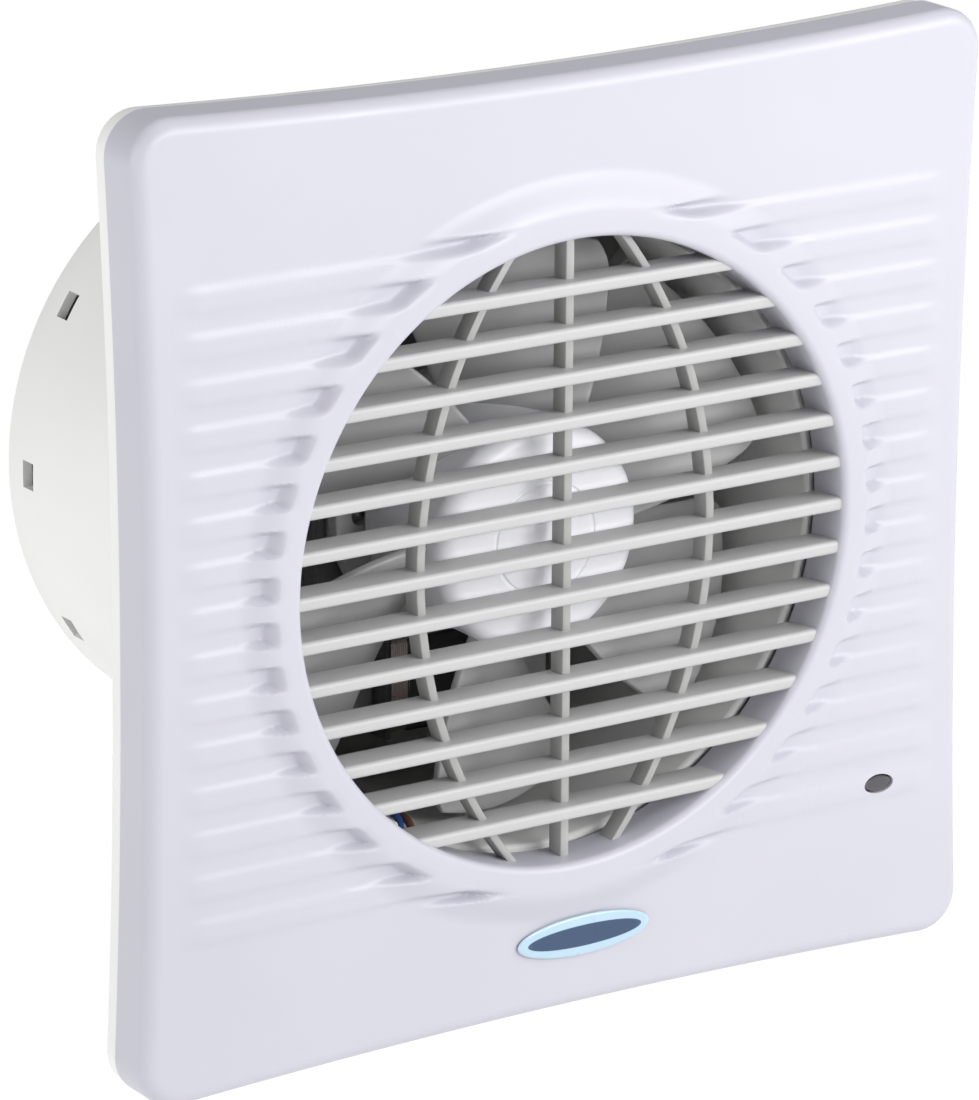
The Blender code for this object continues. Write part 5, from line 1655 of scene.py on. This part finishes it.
chip = bar(
    "chip_body",
    (CHIP_LOW[0], -8.0 * MM, CHIP_LOW[1]),
    (CHIP_HIGH[0], board_seat_y, CHIP_HIGH[1]),
    round_by=0.22 * MM,
    segments=2,
)
dimple = turned(
    "dimple", [(0.35 * MM, -7.85 * MM), (0.35 * MM, -9 * MM)], at=(51.5 * MM, -46.1 * MM), steps=24
)
settle(carve(chip, dimple), chip_body, "casing", "black_plastic", "timer_chip")
legs = []
for side, x in ((-1, CHIP_LOW[0]), (1, CHIP_HIGH[0])):
    for row in range(4):
        z = (-45.7 - LEG_PITCH * row) * MM
        shelf = sorted((x - side * 0.1 * MM, x + side * 0.75 * MM))
        drop = sorted((x + side * 0.5 * MM, x + side * 0.75 * MM))
        legs.append(
            bar(
                "leg",
                (shelf[0], -7.35 * MM, z - 0.22 * MM),
                (shelf[1], -7.15 * MM, z + 0.22 * MM),
                round_by=0.04 * MM,
                segments=1,
            )
        )
        legs.append(
            bar(
                "leg",
                (drop[0], -7.35 * MM, z - 0.22 * MM),
                (drop[1], -6.25 * MM, z + 0.22 * MM),
                round_by=0.04 * MM,
                segments=1,
            )
        )
settle(gathered("chip_legs", legs), tin_solder, "casing", "zinc_steel")

plastic_blue = moulded_plastic(
    "plastic_blue", (0.04, 0.16, 0.46), (0.035, 0.13, 0.38), (0.15, 0.30, 0.60), roughness=0.35
)
trimmer_x, trimmer_z = TRIMMER_AT
trimmer = bar(
    "trimmer_box",
    (trimmer_x - TRIMMER_HALF, -8.4 * MM, trimmer_z - TRIMMER_HALF),
    (trimmer_x + TRIMMER_HALF, board_seat_y, trimmer_z + TRIMMER_HALF),
    round_by=0.4 * MM,
)
settle(trimmer, plastic_blue, "casing", "trimmer_blue", "trimmer_base")
dial_profile = [(1.9, -8.7), (2.2, -8.8), (2.2, -9.4), (2.05, -9.55), (1.7, -9.6), (0.1, -9.6)]
dial = turned("slotted_dial", [(r * MM, y * MM) for r, y in dial_profile], at=TRIMMER_AT, steps=48)
dial_slot = bar(
    "slot",
    (trimmer_x - 0.35 * MM, -12 * MM, trimmer_z - 3 * MM),
    (trimmer_x + 0.35 * MM, -9.1 * MM, trimmer_z + 3 * MM),
)
settle(carve(dial, dial_slot), nylon_white, "timer_dial", "white_cover", "trimmer_dial")

# ---------------------------------------------------------------------------
# Leads: PVC insulated wires, brown and blue, clipped down the duct's wall from the
# coil to the block, and along the plate from the block to the board.
# ---------------------------------------------------------------------------

INSULATION = {
    "brown": moulded_plastic(
        "pvc_brown", (0.15, 0.055, 0.025), (0.12, 0.045, 0.02), (0.24, 0.11, 0.06), roughness=0.4
    ),
    "blue": moulded_plastic(
        "pvc_blue", (0.015, 0.06, 0.24), (0.012, 0.05, 0.19), (0.06, 0.15, 0.36), roughness=0.4
    ),
}
for colour, insulation in INSULATION.items():
    for run in ("motor", "board"):
        node = f"{run}_lead_{colour}"
        lead = rounded_from_cad(f"{run}_wire_{colour}", node, 0.10 * MM)
        settle(lead, insulation, "casing", f"{colour}_insulation", node, smooth_below=80)

# ---------------------------------------------------------------------------
# Front cover: one injection moulding in cool-white ABS with a satin face. Its
# square outline bows inwards on all four sides. Flat beads run on from the
# grille's slats over the face, and a raised ring stands round the grille.
# ---------------------------------------------------------------------------

FACE_Y = -12.0 * MM
SKIRT_END_Y = -3.3 * MM
EDGE_ROUND = 2.4 * MM
GRILLE_R = 48.6 * MM
SLEEVE_R = 50.2 * MM
SLEEVE_END_Y = -6.2 * MM
RING_R = 52.4 * MM
RING_RISE = 2.3 * MM
SHOULDER_R = 60.4 * MM
SLAT_PITCH = 6.82 * MM
BEAD_RISE = 0.42 * MM
BEAD_HALF = 1.2 * MM
BEAD_FADE = 1.25 * MM
BEAD_END_X = 64.0 * MM
BEAD_END_Z = 50.6 * MM
BEAD_END_FADE = 5.0 * MM
FIELD_FADE = 1.2 * MM
CREST_SLOPE = 6.4 * MM
POCKET_SLOPE = 1.7 * MM
POCKET_MIDDLE = 2.8 * MM
POCKET_REACH = 3.4 * MM
POCKET_DEPTH = 0.35 * MM
DEEPEST = 0.4 * MM
FACE_ROWS = 44
SHOULDER_ROWS = 28
LIP = 1.3 * MM
CLIP_ROOT_Y = -10.6 * MM
CLIP_END_Y = -1.0 * MM
BARB_Y = -2.1 * MM
WINDOW_HALF_X = 2.75 * MM
WINDOW_HALF_Z = 1.5 * MM

cover_white = moulded_plastic(
    "cover_white", (0.540, 0.536, 0.600), (0.520, 0.517, 0.582), (0.545, 0.541, 0.605), roughness=0.40
)
# The grille is part of the cover's moulding. Its darker grey than the cover is painted shade for the slats
# set deep in their slots.
grille_shaded_white = moulded_plastic(
    "grille_shaded_white", (0.385, 0.385, 0.375), (0.345, 0.345, 0.335), (0.50, 0.50, 0.50), roughness=0.42
)


def smooth_step(value):
    value = min(max(value, 0.0), 1.0)
    return value * value * (3 - 2 * value)


def bead_at(z):
    """1 on the flat top of a bead, 0 between two beads."""
    off = abs((z + SLAT_PITCH / 2) % SLAT_PITCH - SLAT_PITCH / 2)
    return 1 - smooth_step((off - BEAD_HALF) / BEAD_FADE)


def face_relief(x, z):
    """How far the cover's face stands out towards the room at x, z."""
    r = math.hypot(x, z)
    bead = bead_at(z)
    field = 1 - smooth_step((abs(z) - BEAD_END_Z) / FIELD_FADE)
    ends = 1 - smooth_step((abs(x) - BEAD_END_X) / BEAD_END_FADE)
    on_crest = bead * field + 1 - field
    crest_slope = 1 - smooth_step((r - RING_R) / CREST_SLOPE)
    pocket_slope = 1 - smooth_step((r - RING_R) / POCKET_SLOPE)
    pocket = POCKET_DEPTH * (1 - smooth_step(abs(r - RING_R - POCKET_MIDDLE) / POCKET_REACH))
    crest = RING_RISE * crest_slope
    hollow = RING_RISE * pocket_slope - pocket
    shoulder = crest * on_crest + hollow * (1 - on_crest)
    return max(shoulder, -DEEPEST) + BEAD_RISE * bead * field * ends * (1 - crest_slope)


# From the skirt's end up and round the edge, in over the face and the ring to the grille's
# opening, then down its sleeve and back out under the face to the skirt's inside.
cover_path = []
for y in (SKIRT_END_Y, SKIRT_END_Y - 0.3 * MM, (SKIRT_END_Y + FACE_Y) / 2, FACE_Y + EDGE_ROUND + 0.2 * MM):
    cover_path.append((0.0, 0.0, 1.0, y, False))
for step in range(9):
    angle = math.pi / 2 * step / 8
    inset = EDGE_ROUND * (1 - math.cos(angle))
    cover_path.append((0.0, inset, 1.0, FACE_Y + EDGE_ROUND * (1 - math.sin(angle)), False))
for step in range(1, FACE_ROWS + 1):
    cover_path.append((SHOULDER_R, EDGE_ROUND, 1 - step / FACE_ROWS, FACE_Y, True))
for step in range(1, SHOULDER_ROWS + 1):
    row_r = SHOULDER_R + (RING_R - SHOULDER_R) * step / SHOULDER_ROWS
    cover_path.append((row_r, 0.0, 0.0, FACE_Y, True))
ring_top_y = FACE_Y - RING_RISE
cover_path.append((RING_R - 1.0 * MM, 0.0, 0.0, ring_top_y, False))
for step in range(7):
    angle = math.pi / 2 * step / 6
    cover_path.append(
        (GRILLE_R + LIP * (1 - math.sin(angle)), 0.0, 0.0, ring_top_y + LIP * (1 - math.cos(angle)), False)
    )
for r, y in (
    (GRILLE_R, -9.5 * MM),
    (GRILLE_R, SLEEVE_END_Y),
    (SLEEVE_R, SLEEVE_END_Y),
    (SLEEVE_R, -8.5 * MM),
    (SLEEVE_R, -10.0 * MM),
):
    cover_path.append((r, 0.0, 0.0, y, False))
for part in (0.33, 0.66):
    cover_path.append((SLEEVE_R + MM, 3.0 * MM, part, -10.2 * MM, False))
for inset, y in ((3.0, -10.2), (1.8, -9.4), (1.8, -3.3)):
    cover_path.append((0.0, inset * MM, 1.0, y * MM, False))

front_shell = loft_shell("cover_shell", cover_path, columns=880, relief_at=face_relief)
window_cutter = turned("window", [(WINDOW_HALF_Z, FACE_Y + 4 * MM), (WINDOW_HALF_Z, FACE_Y - 4 * MM)])
window_cutter.data.transform(Matrix.Diagonal((WINDOW_HALF_X / WINDOW_HALF_Z, 1.0, 1.0, 1.0)))
window_cutter.data.transform(Matrix.Translation((LED_AT[0], 0.0, LED_AT[1])))
carve(front_shell, window_cutter)
clip_parts = [front_shell]
for quarter in range(4):
    tab = bar(
        "clip",
        (CLIP_AT - CLIP_THICK / 2, CLIP_ROOT_Y, -CLIP_WIDTH / 2),
        (CLIP_AT + CLIP_THICK / 2, CLIP_END_Y, CLIP_WIDTH / 2),
        round_by=0.25 * MM,
    )
    barb = bar(
        "barb",
        (CLIP_AT - CLIP_THICK / 2, BARB_Y - 0.5 * MM, -CLIP_WIDTH / 2 + 0.6 * MM),
        (CLIP_AT + CLIP_THICK / 2 + 0.2 * MM, BARB_Y + 0.5 * MM, CLIP_WIDTH / 2 - 0.6 * MM),
        round_by=0.2 * MM,
    )
    clip_parts += [about_duct(tab, 90 * quarter), about_duct(barb, 90 * quarter)]
cover = gathered("cover_shell", clip_parts)
settle(cover, cover_white, "cover", "white_cover", "front_cover", smooth_below=40)

# ---------------------------------------------------------------------------
# Grille: thirteen level slats moulded across the ring, deeper than they are
# thick, held by one straight and two bowed ribs a little behind their fronts.
# ---------------------------------------------------------------------------

SLAT_FRONT_Y = -13.3 * MM
SLAT_BACK_Y = -6.9 * MM
SLAT_THICK = 2.2 * MM
SLAT_END_R = 49.4 * MM
SLATS_EACH_WAY = 6
BACK_TAPER = 0.6
RIB_THICK = 1.5 * MM
RIB_FRONT_Y = -10.6 * MM
RIB_BACK_Y = -7.2 * MM
RIB_HALF = 49.3 * MM
BOWED_RIB_HALF = 48.4 * MM
RIB_BOW_R = 77.0 * MM
RIB_BOW_X = 26.0 * MM
RIB_STEPS = 32

slat = bar(
    "slat",
    (-SLAT_END_R, SLAT_FRONT_Y, -SLAT_THICK / 2),
    (SLAT_END_R, SLAT_BACK_Y, SLAT_THICK / 2),
)
bpy.ops.object.mode_set(mode="EDIT")
mesh = bmesh.from_edit_mesh(slat.data)
for vertex in mesh.verts:
    if vertex.co.y > SLAT_FRONT_Y + MM:
        vertex.co.z *= BACK_TAPER
for edge in mesh.edges:
    edge.select = all(v.co.y < SLAT_FRONT_Y + MM for v in edge.verts) and abs(
        edge.verts[0].co.z - edge.verts[1].co.z
    ) < 0.1 * MM
bmesh.update_edit_mesh(slat.data)
bpy.ops.mesh.bevel(offset=0.75 * MM, segments=4, affect="EDGES")
bpy.ops.object.mode_set(mode="OBJECT")

grille_parts = []
for number in range(-SLATS_EACH_WAY, SLATS_EACH_WAY + 1):
    z = number * SLAT_PITCH
    level = copied(slat, "slat")
    level.data.transform(Matrix.Diagonal((math.sqrt(SLAT_END_R**2 - z**2) / SLAT_END_R, 1.0, 1.0, 1.0)))
    level.data.transform(Matrix.Translation((0.0, 0.0, z)))
    grille_parts.append(level)
bpy.data.objects.remove(slat)

for bow_x in (0.0, -RIB_BOW_X, RIB_BOW_X):
    half = RIB_HALF if bow_x == 0 else BOWED_RIB_HALF
    rib = bar(
        "rib",
        (-RIB_THICK / 2, RIB_FRONT_Y, -half),
        (RIB_THICK / 2, RIB_BACK_Y, half),
        round_by=0.3 * MM,
        segments=2,
    )
    bpy.ops.object.mode_set(mode="EDIT")
    mesh = bmesh.from_edit_mesh(rib.data)
    for step in range(1, RIB_STEPS):
        cut_z = -half + 2 * half * step / RIB_STEPS
        whole_rib = mesh.verts[:] + mesh.edges[:] + mesh.faces[:]
        bmesh.ops.bisect_plane(mesh, geom=whole_rib, plane_co=(0, 0, cut_z), plane_no=(0, 0, 1))
    for vertex in mesh.verts:
        drop = RIB_BOW_R - math.sqrt(RIB_BOW_R**2 - vertex.co.z**2)
        vertex.co.x += bow_x - math.copysign(drop, bow_x) if bow_x else 0.0
    bmesh.update_edit_mesh(rib.data)
    bpy.ops.object.mode_set(mode="OBJECT")
    grille_parts.append(rib)

grille = gathered("cover_grille", grille_parts)
settle(grille, grille_shaded_white, "cover", "white_cover", "front_cover", smooth_below=40)

# ---------------------------------------------------------------------------
# Window and badge: a smoked lens pushed into the cover over the indicator, and a
# blank domed resin badge in two blues, glued below the grille.
# ---------------------------------------------------------------------------

BADGE_AT = (2.4 * MM, -61.2 * MM)
BADGE_HALF = (12.0 * MM, 3.2 * MM)


def oval_piece(name, profile, place, half_x, half_z, steps=96):
    """A turned piece of radius 1 mm at most, stretched to an oval and put at its place."""
    piece = turned(name, profile, steps=steps)
    piece.data.transform(Matrix.Diagonal((half_x / MM, 1.0, half_z / MM, 1.0)))
    piece.data.transform(Matrix.Translation((place[0], 0.0, place[1])))
    return piece


smoked = moulded_plastic(
    "smoked_window",
    (0.045, 0.042, 0.05),
    (0.06, 0.055, 0.062),
    (0.16, 0.15, 0.17),
    roughness=0.1,
    grain_depth=0.004,
    coat=0.8,
)
lens_profile = [
    (0.9, -9.5), (0.98, -9.6), (1.0, -12.0), (0.97, -12.1), (0.8, -12.17), (0.4, -12.2), (0.02, -12.2)
]
window_lens = oval_piece(
    "lens", [(r * MM, y * MM) for r, y in lens_profile], LED_AT, half_x=2.45 * MM, half_z=1.2 * MM
)
flange_profile = [(0.9, -9.1), (1.0, -9.2), (1.0, -9.85), (0.95, -9.9)]
flange = oval_piece(
    "flange", [(r * MM, y * MM) for r, y in flange_profile], LED_AT, half_x=3.2 * MM, half_z=2.2 * MM
)
settle(gathered("window_lens", [window_lens, flange]), smoked, "cover", "smoked_lens", "led_window")

badge_pale = moulded_plastic(
    "badge_pale",
    (0.44, 0.60, 0.72),
    (0.40, 0.57, 0.70),
    (0.54, 0.68, 0.78),
    roughness=0.30,
    grain_depth=0.004,
    coat=0.5,
)
badge_deep = moulded_plastic(
    "badge_deep",
    (0.018, 0.055, 0.13),
    (0.013, 0.045, 0.105),
    (0.045, 0.11, 0.21),
    roughness=0.30,
    grain_depth=0.004,
    coat=0.5,
)
badge_profile = [
    (0.99, -12.3),
    (1.0, -12.42),
    (0.985, -12.62),
    (0.95, -12.72),
    (0.85, -12.79),
    (0.5, -12.82),
    (0.02, -12.83),
]
plaque = oval_piece("badge_plaque", [(r * MM, y * MM) for r, y in badge_profile], BADGE_AT, *BADGE_HALF)
settle(plaque, badge_pale, "cover", "badge_blue", "badge")
bar_profile = [(1.0, -12.75), (0.99, -12.86), (0.9, -12.89), (0.5, -12.9), (0.02, -12.9)]
badge_bar = oval_piece(
    "badge_bar", [(r * MM, y * MM) for r, y in bar_profile], BADGE_AT, half_x=10.4 * MM, half_z=1.7 * MM
)
settle(badge_bar, badge_deep, "cover", "badge_blue", "badge")
